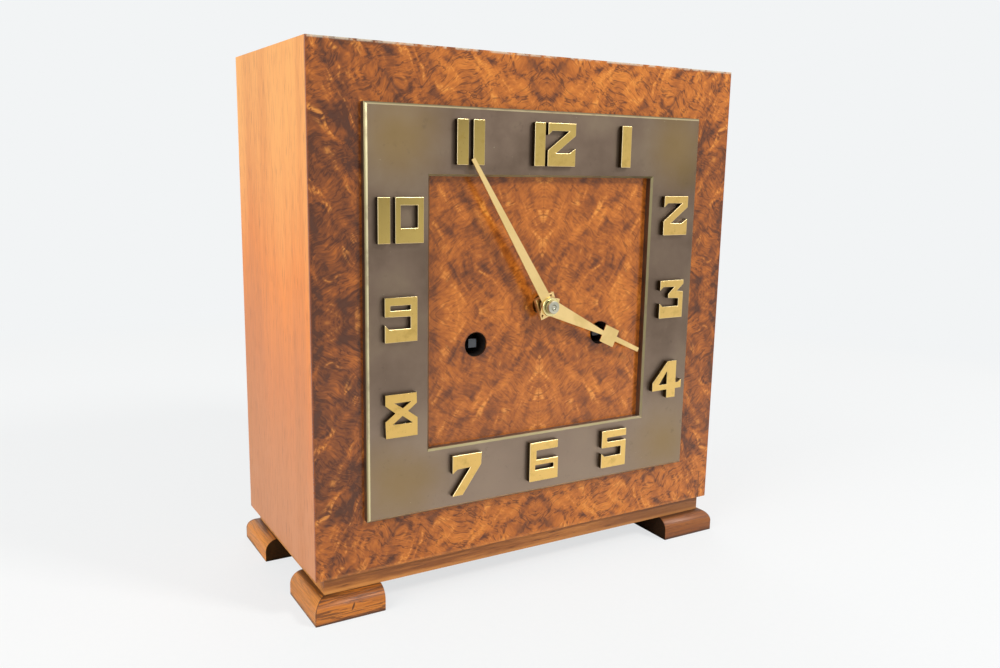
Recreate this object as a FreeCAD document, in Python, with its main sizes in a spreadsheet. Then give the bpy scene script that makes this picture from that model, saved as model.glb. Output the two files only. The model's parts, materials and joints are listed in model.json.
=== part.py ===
import FreeCAD, Part
import math
import operator
import os
import re
import Sketcher

# Square wooden desk clock with a bronze dial frame, brass numerals, brass hands
# and an eight-day movement with a pendulum and a rod gong behind a rear door.
# X runs to the right of the dial, Y to the rear and Z up. The floor is at Z zero.

SIZES = {
    # Case of mitred boards with a veneered front
    "case_width": 240.0,
    "case_rise": 243.0,
    "case_depth": 109.0,
    "board_thick": 12.0,
    "front_board_thick": 8.0,
    "veneer_thick": 0.8,
    # Plinth frame and feet
    "plinth_rise": 8.0,
    "plinth_side_inset": 4.5,
    "plinth_front_inset": 1.8,
    "plinth_strip": 16.0,
    "foot_rise": 12.0,
    "foot_width": 35.0,
    "foot_depth": 38.0,
    "foot_side_reach": 2.0,
    "foot_front_reach": 4.3,
    "foot_round": 6.5,
    # Rear door, its stops, hinges, knob and turn button
    "door_thick": 8.0,
    "door_gap": 0.5,
    "stop_width": 8.0,
    "stop_thick": 5.0,
    "leaf_width": 9.0,
    "leaf_thick": 1.0,
    "leaf_rise": 30.0,
    "leaf_from_door_end": 32.0,
    "knuckle_radius": 2.2,
    "middle_knuckle_rise": 12.0,
    "knuckle_play": 0.15,
    "hinge_pin_radius": 0.9,
    "running_play": 0.05,
    "knob_radius": 5.6,
    "knob_reach": 11.0,
    "knob_flange_radius": 5.0,
    "knob_flange_thick": 1.4,
    "knob_neck_radius": 2.4,
    "knob_head_thick": 5.0,
    "knob_shank_radius": 1.6,
    "knob_from_door_edge": 16.0,
    "button_length": 20.0,
    "button_width": 8.0,
    "button_thick": 2.6,
    "button_lift": 0.3,
    "button_shank_radius": 1.5,
    "button_shank_depth": 10.0,
    "button_head_radius": 2.6,
    "button_head_thick": 1.0,
    # Dial frame and its fixing lugs
    "frame_width": 191.5,
    "frame_opening": 128.5,
    "frame_thick": 4.3,
    "frame_outer_chamfer": 1.2,
    "frame_inner_chamfer": 1.0,
    "frame_lug_side": 3.0,
    "frame_lug_inset": 15.0,
    # Cast numerals, measured from the middle of the dial
    "numeral_thick": 2.6,
    "numeral_rise": 20.6,
    "digit_width": 16.2,
    "wide_digit_width": 17.4,
    "four_width": 20.3,
    "zero_width": 14.0,
    "bar_width": 6.0,
    "bar_gap": 2.4,
    "narrow_gap": 1.5,
    "row_above": 79.8,
    "row_below": 79.0,
    "column_offset": 79.8,
    "numeral_step": 44.8,
    "twelve_shift": 1.5,
    # Hands
    "hub_above_middle": 1.2,
    "minute_hand_reach": 84.0,
    "minute_hand_root_width": 5.6,
    "minute_hand_tip_width": 2.0,
    "minute_hand_thick": 0.8,
    "minute_hand_lift": 0.7,
    "minute_boss_side": 9.4,
    "hour_hand_reach": 65.4,
    "hour_hand_root_width": 8.2,
    "hour_hand_waist_width": 2.3,
    "hour_hand_rod_width": 2.7,
    "hour_hand_tip_width": 2.3,
    "hour_hand_square": 9.3,
    "hour_hand_square_place": 43.7,
    "hour_hand_thick": 0.9,
    "hand_gap": 1.7,
    "hour_boss_side": 11.0,
    "hour_boss_depth": 2.3,
    "hour_boss_rim": 0.8,
    "hour_boss_floor": 0.6,
    "shown_minute_angle": 328.0,
    "shown_hour_angle": 115.0,
    "washer_radius": 4.9,
    "washer_thick": 1.0,
    "washer_eye_radius": 0.35,
    "washer_eye_place": 3.7,
    "nut_radius": 3.2,
    "nut_thick": 2.6,
    "arbor_recess": 0.6,
    # Holes through the front
    "hub_hole_radius": 5.0,
    "winding_hole_radius": 6.0,
    # Movement plates, pillars and posts, measured from the hands' axis
    "motion_space": 11.2,
    "plate_thick": 2.0,
    "cage_gap": 30.0,
    "plate_half_width": 62.0,
    "plate_above": 64.0,
    "plate_below": 44.0,
    "plate_corner": 9.0,
    "pillar_radius": 3.2,
    "pillar_inset": 6.0,
    "pillar_nut_radius": 3.6,
    "pillar_nut_thick": 2.4,
    "post_radius": 3.5,
    "post_flange_radius": 7.0,
    "post_flange_thick": 1.4,
    "post_offset": 50.0,
    "post_above": 50.0,
    "post_below": 36.0,
    # Places of the arbors, measured from the hands' axis
    "barrel_across": 37.3,
    "barrel_below": 17.4,
    "intermediate_across": 19.0,
    "intermediate_above": 0.5,
    "third_above": 15.4,
    "fourth_above": 27.4,
    "escape_above": 39.4,
    "pallet_above": 53.6,
    "second_across": 33.0,
    "second_above": 8.6,
    "pin_wheel_across": 20.0,
    "pin_wheel_above": 27.4,
    "warning_across": 19.5,
    "warning_above": 42.2,
    "fly_across": 27.5,
    "fly_above": 50.5,
    "minute_stud_across": 8.6,
    "minute_stud_above": 8.4,
    # Wheels and arbors of the trains, levels measured from the front plate
    "wheel_thick": 1.5,
    "pinion_face": 3.6,
    "arbor_radius": 1.2,
    "pivot_radius": 0.8,
    "end_shake": 0.2,
    "rim_width": 2.0,
    "wheel_hub_radius": 3.0,
    "arm_width": 1.8,
    "great_wheel_level": 3.0,
    "great_wheel_thick": 2.0,
    "drum_radius": 18.0,
    "drum_length": 16.0,
    "drum_cap_radius": 15.5,
    "drum_cap_thick": 0.8,
    "centre_wheel_level": 8.2,
    "third_wheel_level": 13.2,
    "fourth_wheel_level": 18.0,
    "rear_wheel_level": 23.4,
    "escape_wheel_level": 25.2,
    "escape_wheel_radius": 10.0,
    "escape_tooth_depth": 2.2,
    "escape_wheel_thick": 1.0,
    "pin_wheel_level": 9.0,
    "strike_pin_radius": 0.6,
    "strike_pin_circle": 7.0,
    "strike_pin_length": 3.0,
    "warning_wheel_level": 14.0,
    "fly_radius": 8.4,
    "fly_level": 18.2,
    "fly_length": 7.5,
    "fly_thick": 0.6,
    # Centre arbor, cannon and motion work
    "centre_arbor_radius": 1.5,
    "cannon_radius": 2.3,
    "hour_pipe_radius": 3.2,
    "hour_wheel_thick": 1.4,
    "hour_wheel_ahead": 6.2,
    "minute_wheel_thick": 1.4,
    "minute_wheel_ahead": 1.4,
    "motion_stud_radius": 1.0,
    "motion_stud_spare": 0.5,
    # Winding arbors, ratchets and clicks
    "winding_arbor_radius": 3.0,
    "rear_pivot_radius": 2.0,
    "winding_square": 4.4,
    "square_behind_front": 3.4,
    "ratchet_radius": 9.0,
    "ratchet_depth": 1.5,
    "ratchet_thick": 1.8,
    "ratchet_ahead": 0.5,
    "click_length": 9.0,
    "click_width": 2.6,
    "click_thick": 1.6,
    "click_pivot_radius": 1.1,
    "click_boss_radius": 2.4,
    "click_clearance": 0.4,
    "click_lead": 3.0,
    # Anchor, crutch, suspension and pendulum
    "anchor_inner_radius": 10.9,
    "anchor_outer_radius": 13.0,
    "anchor_thick": 2.0,
    "anchor_half_span": 46.0,
    "anchor_hub_radius": 2.6,
    "crutch_length": 26.0,
    "crutch_width": 1.8,
    "crutch_thick": 1.0,
    "crutch_behind": 2.0,
    "crutch_fork_reach": 5.6,
    "crutch_fork_gap": 1.7,
    "crutch_fork_wire": 0.9,
    "cock_width": 14.0,
    "cock_rise": 8.0,
    "cock_thick": 2.0,
    "cock_above_pallets": 3.0,
    "cock_nose_width": 6.0,
    "suspension_width": 3.0,
    "suspension_thick": 0.4,
    "suspension_clamp": 3.0,
    "suspension_play": 0.3,
    "pendulum_behind": 6.0,
    "bob_above_floor": 20.8,
    "pendulum_rod_width": 2.4,
    "pendulum_rod_thick": 1.2,
    "pendulum_rod_spare": 18.0,
    "bob_radius": 14.0,
    "bob_thick": 7.0,
    "bob_edge_thick": 2.4,
    "rating_nut_radius": 3.4,
    "rating_nut_rise": 3.0,
    # Hammer and rod gong
    "hammer_across": 52.0,
    "hammer_above": 24.0,
    "hammer_tail_width": 1.8,
    "hammer_tail_thick": 1.4,
    "hammer_tail_clearance": 0.8,
    "hammer_arm_behind": 2.6,
    "hammer_arm_radius": 1.1,
    "hammer_head_below": 38.0,
    "hammer_head_radius": 3.6,
    "hammer_head_length": 11.0,
    "gong_from_side": 18.0,
    "gong_rod_radius": 1.5,
    "gong_rod_length": 150.0,
    "gong_rod_spacing": 11.0,
    "gong_rod_seat": 8.0,
    "gong_behind_plate": 20.0,
    "gong_block_width": 22.0,
    "gong_block_depth": 30.0,
    "gong_block_rise": 17.0,
    "gong_block_edge": 2.0,
    "hammer_rest_gap": 1.0,
    # How far a cutting shape runs past what it cuts
    "overrun": 1.0,
}

# Numbers of teeth, leaves, pins and arms
GREAT_TEETH = 36
INTERMEDIATE_TEETH = 36
CENTRE_TEETH = 48
THIRD_TEETH = 40
FOURTH_TEETH = 40
ESCAPE_TEETH = 30
PIN_WHEEL_TEETH = 32
WARNING_TEETH = 24
PINION_LEAVES = 8
CANNON_LEAVES = 10
MINUTE_WHEEL_TEETH = 30
MINUTE_PINION_LEAVES = 8
HOUR_WHEEL_TEETH = 32
RATCHET_TEETH = 16
STRIKE_PINS = 8
WHEEL_ARMS = 4

# Flats of round pieces that are small or hidden, which keep the model light
DRUM_FLAT_COUNT = 24
HOLE_FLAT_COUNT = 20
PIPE_FLAT_COUNT = 10
PIVOT_FLAT_COUNT = 6
PIN_FLAT_COUNT = 4
ARCH_FLAT_COUNT = 6

# Tooth form in shares of the module: height above and depth below the pitch circle, width of the tip
ADDENDUM_SHARE = 0.65
DEDENDUM_SHARE = 1.25
TIP_WIDTH_SHARE = 0.5

FULL_TURN = 2 * math.pi
QUARTER_TURN_DEGREES = 90

document = FreeCAD.newDocument("desk_clock")
sheet = document.addObject("Spreadsheet::Sheet", "Sizes")
places = document.addObject("Spreadsheet::Sheet", "Places")

SIGNS = {"+": operator.add, "-": operator.sub, "*": operator.mul, "/": operator.truediv}


class Term:
    """A size or a place: its number, and the formula in named sizes that gives it."""

    def __init__(self, value, text):
        self.value = value
        self.text = text

    def __float__(self):
        return float(self.value)

    def __add__(self, other):
        return joined(self, "+", other)

    def __radd__(self, other):
        return joined(other, "+", self)

    def __sub__(self, other):
        return joined(self, "-", other)

    def __rsub__(self, other):
        return joined(other, "-", self)

    def __mul__(self, other):
        return joined(self, "*", other)

    def __rmul__(self, other):
        return joined(other, "*", self)

    def __truediv__(self, other):
        return joined(self, "/", other)

    def __neg__(self):
        return Term(-self.value, "(0 - " + self.text + ")")


def as_term(item):
    """Give a plain number the form of a term."""
    return item if isinstance(item, Term) else Term(item, repr(item))


def joined(left, sign, right):
    """Two terms and the sign between them, as one term."""
    left = as_term(left)
    right = as_term(right)
    value = SIGNS[sign](left.value, right.value)
    return Term(value, "(" + left.text + " " + sign + " " + right.text + ")")


class Names:
    """Holds one term for each named cell."""


def fill_sizes():
    """Write every driving size into the sheet and read it back as a term."""
    for row, (name, number) in enumerate(SIZES.items(), start=1):
        sheet.set("A" + str(row), name)
        sheet.set("B" + str(row), str(number))
        sheet.setAlias("B" + str(row), name)
    document.recompute()
    names = Names()
    for name in SIZES:
        setattr(names, name, Term(float(sheet.get(name)), "Sizes." + name))
    return names


size = fill_sizes()
place_rows = iter(range(1, len(SIZES)))


def derive(name, term):
    """Keep a worked-out place in the second sheet, so that formulas stay short."""
    row = str(next(place_rows))
    places.set("A" + row, name)
    places.set("B" + row, "=" + term.text)
    places.setAlias("B" + row, name)
    return Term(term.value, "Places." + name)


# Levels above the floor
plinth_z = derive("plinth_z", size.foot_rise + 0)
case_z = derive("case_z", size.foot_rise + size.plinth_rise)
case_top_z = derive("case_top_z", case_z + size.case_rise)
dial_z = derive("dial_z", case_z + size.case_rise / 2)
hub_z = derive("hub_z", dial_z + size.hub_above_middle)

# Depths of the hand stack ahead of the case front
numeral_front = derive("numeral_front", size.frame_thick + size.numeral_thick)
minute_back = derive("minute_back", numeral_front + size.minute_hand_lift)
minute_front = derive("minute_front", minute_back + size.minute_hand_thick)
hour_front = derive("hour_front", minute_back - size.hand_gap)
hour_back = derive("hour_back", hour_front - size.hour_hand_thick)
nut_back = derive("nut_back", minute_front + size.washer_thick)
nut_front = derive("nut_front", nut_back + size.nut_thick)

# Depths from the foremost nut to the rearmost knob, with the frame's middle between them
front_y = derive("front_y", (nut_front - size.case_depth - size.knob_reach) / 2)
board_y = derive("board_y", front_y + size.veneer_thick)
board_back_y = derive("board_back_y", board_y + size.front_board_thick)
plate_y = derive("plate_y", board_back_y + size.motion_space)
cage_y = derive("cage_y", plate_y + size.plate_thick)
back_plate_y = derive("back_plate_y", cage_y + size.cage_gap)
cage_end_y = derive("cage_end_y", back_plate_y + size.plate_thick)
case_back_y = derive("case_back_y", front_y + size.case_depth)
door_y = derive("door_y", case_back_y - size.door_thick)
inner_half = derive("inner_half", size.case_width / 2 - size.board_thick)
floor_z = derive("floor_z", case_z + size.board_thick)
gong_x = derive("gong_x", inner_half - size.gong_from_side)
hammer_head_x = derive(
    "hammer_head_x", gong_x - size.gong_rod_radius - size.hammer_rest_gap - size.hammer_head_length / 2,
)
ceiling_z = derive("ceiling_z", case_top_z - size.board_thick)

TO_REAR = FreeCAD.Rotation(FreeCAD.Vector(1, 0, 0), -QUARTER_TURN_DEGREES)
UPRIGHT = FreeCAD.Rotation()
DEPTH_AXIS = FreeCAD.Vector(0, 1, 0)

nodes = []


def bind(piece, **terms):
    """Bind properties of a piece to the sheet."""
    for name, term in terms.items():
        piece.setExpression(name, as_term(term).text)
    return piece


def place(piece, x, y, z, turn=UPRIGHT):
    """Place a piece by terms, turned as asked."""
    piece.Placement = FreeCAD.Placement(FreeCAD.Vector(float(x), float(y), float(z)), turn)
    for axis, term in zip("xyz", (x, y, z)):
        piece.setExpression(".Placement.Base." + axis, as_term(term).text)
    return piece


def keep(name, piece):
    """Give a finished sub-part its own label and list it for export."""
    piece.Label = name
    nodes.append(piece)
    return piece


def block(name, x_span, y_span, z_span):
    """Square-edged block between pairs of places."""
    piece = document.addObject("Part::Box", name)
    bind(piece, Length=x_span[1] - x_span[0], Width=y_span[1] - y_span[0], Height=z_span[1] - z_span[0])
    return place(piece, x_span[0], y_span[0], z_span[0])


def round_bar(name, radius, length, flats):
    """Cylinder, or a bar of so many flats inside that cylinder."""
    if flats:
        piece = document.addObject("Part::Prism", name)
        piece.Polygon = flats
        return bind(piece, Circumradius=radius, Height=length)
    piece = document.addObject("Part::Cylinder", name)
    return bind(piece, Radius=radius, Height=length)


def around(radius, flats):
    """Radius over the corners of a hole whose flats lie this far from its middle."""
    return radius / math.cos(math.pi / flats)


def rod(name, x, z, y_span, radius, flats=None):
    """Round rod that runs from front to rear."""
    piece = round_bar(name, radius, y_span[1] - y_span[0], flats)
    return place(piece, x, y_span[0], z, TO_REAR)


def upright_rod(name, x, y, z_span, radius, flats=None):
    """Round rod that stands upright."""
    piece = round_bar(name, radius, z_span[1] - z_span[0], flats)
    return place(piece, x, y, z_span[0])


def borer(name, x, z, y_span, radius, flats=None):
    """Shape that bores a hole from front to rear and runs past both its ends."""
    span = (y_span[0] - size.overrun, y_span[1] + size.overrun)
    return rod(name, x, z, span, around(radius, flats) if flats else radius, flats)


def fused(name, pieces):
    """One solid made of pieces that run into each other."""
    piece = document.addObject("Part::MultiFuse", name)
    piece.Shapes = pieces
    return piece


def grouped(name, pieces):
    """Several separate solids kept together as one sub-part."""
    piece = document.addObject("Part::Compound", name)
    piece.Links = pieces
    return piece


def cut(name, base, tools):
    """A piece with one or more shapes taken out of it."""
    piece = document.addObject("Part::Cut", name)
    piece.Base = base
    piece.Tool = tools[0] if len(tools) == 1 else fused(name + "_openings", tools)
    return piece


def origin_part(body, role):
    """The named plane or axis of a body's own origin."""
    return next(part for part in body.Origin.OriginFeatures if part.Role == role)


def draw(body, role, loops, circles=()):
    """Sketch closed outlines of corner terms, and circles of middle and radius, on an origin plane."""
    sketch = body.newObject("Sketcher::SketchObject", body.Name + "_outline")
    sketch.AttachmentSupport = [(origin_part(body, role), "")]
    sketch.MapMode = "FlatFace"
    for corners in loops:
        first_line = sketch.GeometryCount
        first_rule = sketch.ConstraintCount
        points = [FreeCAD.Vector(float(across), float(along), 0) for across, along in corners]
        count = len(points)
        sketch.addGeometry([Part.LineSegment(points[i], points[(i + 1) % count]) for i in range(count)])
        rules = []
        for i in range(count):
            line = first_line + i
            follower = first_line + (i + 1) % count
            rules.append(Sketcher.Constraint("Coincident", line, 2, follower, 1))
            rules.append(Sketcher.Constraint("DistanceX", line, 1, points[i].x))
            rules.append(Sketcher.Constraint("DistanceY", line, 1, points[i].y))
        sketch.addConstraint(rules)
        for i, corner in enumerate(corners):
            for shift, term in enumerate(corner, start=1):
                rule = first_rule + 3 * i + shift
                sketch.setExpression("Constraints[" + str(rule) + "]", as_term(term).text)
    for across, along, radius in circles:
        ring = sketch.GeometryCount
        first_rule = sketch.ConstraintCount
        middle = FreeCAD.Vector(float(across), float(along), 0)
        sketch.addGeometry(Part.Circle(middle, FreeCAD.Vector(0, 0, 1), float(radius)))
        sketch.addConstraint([
            Sketcher.Constraint("DistanceX", ring, 3, middle.x),
            Sketcher.Constraint("DistanceY", ring, 3, middle.y),
            Sketcher.Constraint("Radius", ring, float(radius)),
        ])
        for shift, term in enumerate((across, along, radius)):
            sketch.setExpression("Constraints[" + str(first_rule + shift) + "]", as_term(term).text)
    return sketch


def padded(name, loops, length, circles=(), role="XZ_Plane"):
    """Body padded from outlines: to the rear from a front view, or upwards from a plan."""
    body = document.addObject("PartDesign::Body", name)
    body.AllowCompound = True
    sketch = draw(body, role, loops, circles)
    pad = body.newObject("PartDesign::Pad", name + "_pad")
    pad.Profile = sketch
    pad.Reversed = role == "XZ_Plane"
    bind(pad, Length=length)
    sketch.Visibility = False
    return body


def turned(name, profile):
    """Body turned about the depth axis from a profile of radius and depth."""
    body = document.addObject("PartDesign::Body", name)
    sketch = draw(body, "XY_Plane", [profile])
    turning = body.newObject("PartDesign::Revolution", name + "_turning")
    turning.Profile = sketch
    turning.ReferenceAxis = (origin_part(body, "Y_Axis"), [""])
    turning.Angle = 4 * QUARTER_TURN_DEGREES
    sketch.Visibility = False
    return body


def rectangle(x_span, z_span):
    """Corners of a rectangle in order."""
    return [
        (x_span[0], z_span[0]),
        (x_span[1], z_span[0]),
        (x_span[1], z_span[1]),
        (x_span[0], z_span[1]),
    ]


def edges_between(shape, low, high):
    """Names of the edges whose ends both lie in a box."""
    found = []
    for number, edge in enumerate(shape.Edges, start=1):
        inside = True
        for vertex in edge.Vertexes:
            for value, least, most in zip(vertex.Point, low, high):
                inside = inside and least <= value <= most
        if inside:
            found.append("Edge" + str(number))
    return found


def dress(body, kind, edge_names, **terms):
    """Round over or bevel some edges of a body's latest shape."""
    base = body.Tip
    feature = body.newObject("PartDesign::" + kind, body.Name + "_edges")
    feature.Base = (base, edge_names)
    bind(feature, **terms)
    body.Tip = feature


# Case

def make_case():
    """Four mitred boards, the front board, its veneer of four leaves, and the plinth frame."""
    half = size.case_width / 2
    board = size.board_thick
    depth = size.case_depth - size.veneer_thick
    left = padded("left_side", [[
        (-half, case_z), (board - half, case_z + board),
        (board - half, case_top_z - board), (-half, case_top_z),
    ]], depth)
    place(left, 0, board_y, 0)
    button_hole = borer(
        "button_hole", button_x, button_z, (case_back_y - size.button_shank_depth, case_back_y),
        size.button_shank_radius + size.running_play, PIVOT_FLAT_COUNT,
    )
    keep("case_left_side", cut("left_side_bored", left, [button_hole]))
    right = padded("right_side", [[
        (half, case_z), (half, case_top_z),
        (half - board, case_top_z - board), (half - board, case_z + board),
    ]], depth)
    keep("case_right_side", place(right, 0, board_y, 0))
    top = padded("top_board", [[
        (-half, case_top_z), (board - half, case_top_z - board),
        (half - board, case_top_z - board), (half, case_top_z),
    ]], depth)
    keep("case_top", place(top, 0, board_y, 0))
    bottom = padded("bottom_board", [[
        (-half, case_z), (half, case_z), (half - board, case_z + board), (board - half, case_z + board),
    ]], depth)
    keep("case_bottom", place(bottom, 0, board_y, 0))
    holes = [
        (0, hub_z, size.hub_hole_radius),
        (-size.barrel_across, hub_z - size.barrel_below, size.winding_hole_radius),
        (size.barrel_across, hub_z - size.barrel_below, size.winding_hole_radius),
    ]
    front = block("front_panel", (-inner_half, inner_half), (board_y, board_back_y), (floor_z, ceiling_z))
    board_span = (board_y, board_back_y)
    keep("front_board", cut("front_panel_bored", front, [
        borer("board_hole_" + str(number), x, z, board_span, radius, HOLE_FLAT_COUNT)
        for number, (x, z, radius) in enumerate(holes)
    ] + frame_lugs("board_mortise", (board_y - size.overrun, board_back_y + size.overrun))))
    leaves = []
    for side, x_span in (("left", (-half, 0)), ("right", (0, half))):
        for rank, z_span in (("lower", (case_z, dial_z)), ("upper", (dial_z, case_top_z))):
            leaf = block("leaf_" + rank + "_" + side, x_span, (front_y, board_y), z_span)
            borers = [
                borer("bore_" + leaf.Name + str(number), x, z, (front_y, board_y), radius, DRUM_FLAT_COUNT)
                for number, (x, z, radius) in enumerate(holes)
                if reaches(x, x_span, radius) and reaches(z, z_span, radius)
            ]
            mortise = frame_lugs(leaf.Name + "_mortise", (front_y - size.overrun, board_y + size.overrun))
            corner = ("lower", "upper").index(rank) + 2 * ("left", "right").index(side)
            leaves.append(cut(leaf.Name + "_bored", leaf, borers + [mortise[corner]]))
    keep("front_veneer", grouped("front_leaves", leaves))


def reaches(middle, span, radius):
    """Whether a hole of this radius cuts into the span."""
    return float(span[0]) - float(radius) < float(middle) < float(span[1]) + float(radius)


def frame_lugs(name, y_span):
    """Square lugs of the dial frame between two depths, from the lower left one upwards."""
    across = size.frame_width / 2 - size.frame_lug_inset
    half = size.frame_lug_side / 2
    return [
        block(name + "_" + str(number), (x - half, x + half), y_span, (z - half, z + half))
        for number, (x, z) in enumerate(
            (x, z) for x in (-across, across) for z in (dial_z - across, dial_z + across)
        )
    ]


def make_plinth():
    """Frame of strips under the case, set in on all sides."""
    half = size.case_width / 2 - size.plinth_side_inset
    front = front_y + size.plinth_front_inset
    back = case_back_y - size.plinth_front_inset
    strip = size.plinth_strip
    frame = padded("plinth_frame", [
        rectangle((-half, half), (front, back)),
        rectangle((strip - half, half - strip), (front + strip, back - strip)),
    ], size.plinth_rise, role="XY_Plane")
    keep("plinth", place(frame, 0, 0, plinth_z))


def make_feet():
    """Four blocks of moulding, rounded over on the two outer sides, which meet in a mitre."""
    half = size.case_width / 2 + size.foot_side_reach
    blocks = []
    for depth_name, rear in (("front", False), ("rear", True)):
        for side_name, side in (("left", -1), ("right", 1)):
            name = "foot_" + depth_name + "_" + side_name
            x_span = sorted((side * half, side * (half - size.foot_width)), key=float)
            if rear:
                outer = case_back_y + size.foot_front_reach
                y_span = (outer - size.foot_depth, outer)
            else:
                outer = front_y - size.foot_front_reach
                y_span = (outer, outer + size.foot_depth)
            body = padded(name, [rectangle(x_span, y_span)], size.foot_rise, role="XY_Plane")
            document.recompute()
            near = float(size.foot_round) / 100
            top = float(size.foot_rise)
            edge_names = []
            for low, high in (
                ((float(side * half) - near, -math.inf), (float(side * half) + near, math.inf)),
                ((-math.inf, float(outer) - near), (math.inf, float(outer) + near)),
            ):
                edge_names += edges_between(body.Shape, low + (top - near,), high + (top + near,))
            dress(body, "Fillet", edge_names, Radius=size.foot_round)
            blocks.append(body)
    keep("feet", grouped("feet_blocks", blocks))


# Rear door

def make_door():
    """Inset rear door with its stops, hinges, knob and turn button."""
    gap = size.door_gap
    y_span = (door_y, case_back_y)
    rise = (floor_z + gap, ceiling_z - gap)
    panel = block("door_panel", (gap - inner_half, inner_half - gap), y_span, rise)
    knob_hole = borer("knob_hole", knob_x, knob_z, y_span, size.knob_shank_radius, PIVOT_FLAT_COUNT)
    keep("rear_door", cut("door_panel_bored", panel, [knob_hole]))
    width = size.stop_width
    y_span = (door_y - size.stop_thick, door_y)
    keep("door_stops", grouped("stop_strips", [
        block("stop_left", (-inner_half, width - inner_half), y_span, (floor_z, ceiling_z)),
        block("stop_right", (inner_half - width, inner_half), y_span, (floor_z, ceiling_z)),
        block("stop_lower", (width - inner_half, inner_half - width), y_span, (floor_z, floor_z + width)),
        block("stop_upper", (width - inner_half, inner_half - width), y_span, (ceiling_z - width, ceiling_z)),
    ]))


def make_hinges():
    """Two butt hinges on the right: case leaves with their pins, and door leaves."""
    x = inner_half - size.door_gap / 2
    y = case_back_y + size.knuckle_radius
    leaf_y = (case_back_y, case_back_y + size.leaf_thick)
    middle_half = size.middle_knuckle_rise / 2
    half = size.leaf_rise / 2
    clear = size.knuckle_radius + size.knuckle_play
    pin = size.hinge_pin_radius
    case_pieces = []
    door_pieces = []
    for number, z in enumerate((
        floor_z + size.leaf_from_door_end, ceiling_z - size.leaf_from_door_end,
    )):
        tag = "_hinge_" + str(number)
        barrel_z = (z - half, z + half)
        middle_z = (z - middle_half, z + middle_half)
        gap_z = (middle_z[0] - size.knuckle_play, middle_z[1] + size.knuckle_play)
        case_leaf = cut("case_leaf" + tag, fused("case_leaf_blank" + tag, [
            block("case_flap" + tag, (x, x + size.leaf_width), leaf_y, barrel_z),
            upright_rod("case_knuckle" + tag, x, y, barrel_z, size.knuckle_radius, PIPE_FLAT_COUNT),
        ]), [upright_rod(
            "case_knuckle_space" + tag, x, y, gap_z, around(clear, PIPE_FLAT_COUNT), PIPE_FLAT_COUNT,
        )])
        case_pieces.append(fused("case_leaf_pinned" + tag, [
            case_leaf, upright_rod("pin" + tag, x, y, barrel_z, pin, PIVOT_FLAT_COUNT),
        ]))
        low_z = (barrel_z[0] - size.overrun, middle_z[0])
        high_z = (middle_z[1], barrel_z[1] + size.overrun)
        door_pieces.append(cut("door_leaf" + tag, fused("door_leaf_blank" + tag, [
            block("door_flap" + tag, (x - size.leaf_width, x), leaf_y, barrel_z),
            upright_rod("door_knuckle" + tag, x, y, middle_z, size.knuckle_radius, PIPE_FLAT_COUNT),
        ]), [
            upright_rod("low_space" + tag, x, y, low_z, around(clear, PIPE_FLAT_COUNT), PIPE_FLAT_COUNT),
            upright_rod("high_space" + tag, x, y, high_z, around(clear, PIPE_FLAT_COUNT), PIPE_FLAT_COUNT),
            upright_rod(
                "pin_space" + tag, x, y, (low_z[0], high_z[1]),
                around(pin + size.running_play, PIVOT_FLAT_COUNT), PIVOT_FLAT_COUNT,
            ),
        ]))
    keep("hinge_case_leaves", grouped("case_leaves", case_pieces))
    keep("hinge_door_leaves", grouped("door_leaves", door_pieces))


knob_x = derive("knob_x", size.door_gap + size.knob_from_door_edge - inner_half)
knob_z = derive("knob_z", dial_z + 0)
button_x = derive("button_x", size.board_thick / 2 - size.case_width / 2)
button_z = derive("button_z", dial_z + 0)


def make_knob():
    """Small brass knob of flange, neck and head, its shank let into the door."""
    flange_end = case_back_y + size.knob_flange_thick
    head_start = case_back_y + size.knob_reach - size.knob_head_thick
    keep("door_knob", fused("knob", [
        rod("knob_shank", knob_x, knob_z, (door_y, flange_end), size.knob_shank_radius, PIVOT_FLAT_COUNT),
        rod(
            "knob_flange", knob_x, knob_z, (case_back_y, flange_end), size.knob_flange_radius,
            HOLE_FLAT_COUNT,
        ),
        rod("knob_neck", knob_x, knob_z, (flange_end, head_start), size.knob_neck_radius, PIPE_FLAT_COUNT),
        rod(
            "knob_head", knob_x, knob_z, (head_start, case_back_y + size.knob_reach), size.knob_radius,
            HOLE_FLAT_COUNT,
        ),
    ]))


def make_turn_button():
    """Brass turn button on the left side's rear edge, hanging down when the door is free."""
    half = size.button_width / 2
    plate = padded("button_plate", [rectangle(
        (-half, half), (half - size.button_length, 0),
    )], size.button_thick)
    y_span = (case_back_y + size.button_lift, case_back_y + size.button_lift + size.button_thick)
    place(plate, button_x, y_span[0], button_z)
    keep("turn_button", fused("button", [
        plate,
        rod("button_round", button_x, button_z, y_span, half, HOLE_FLAT_COUNT),
        rod(
            "button_shank", button_x, button_z, (case_back_y - size.button_shank_depth, y_span[1]),
            size.button_shank_radius, PIVOT_FLAT_COUNT,
        ),
        rod(
            "button_head", button_x, button_z, (y_span[1], y_span[1] + size.button_head_thick),
            size.button_head_radius, PIPE_FLAT_COUNT,
        ),
    ]))


# Dial

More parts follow.
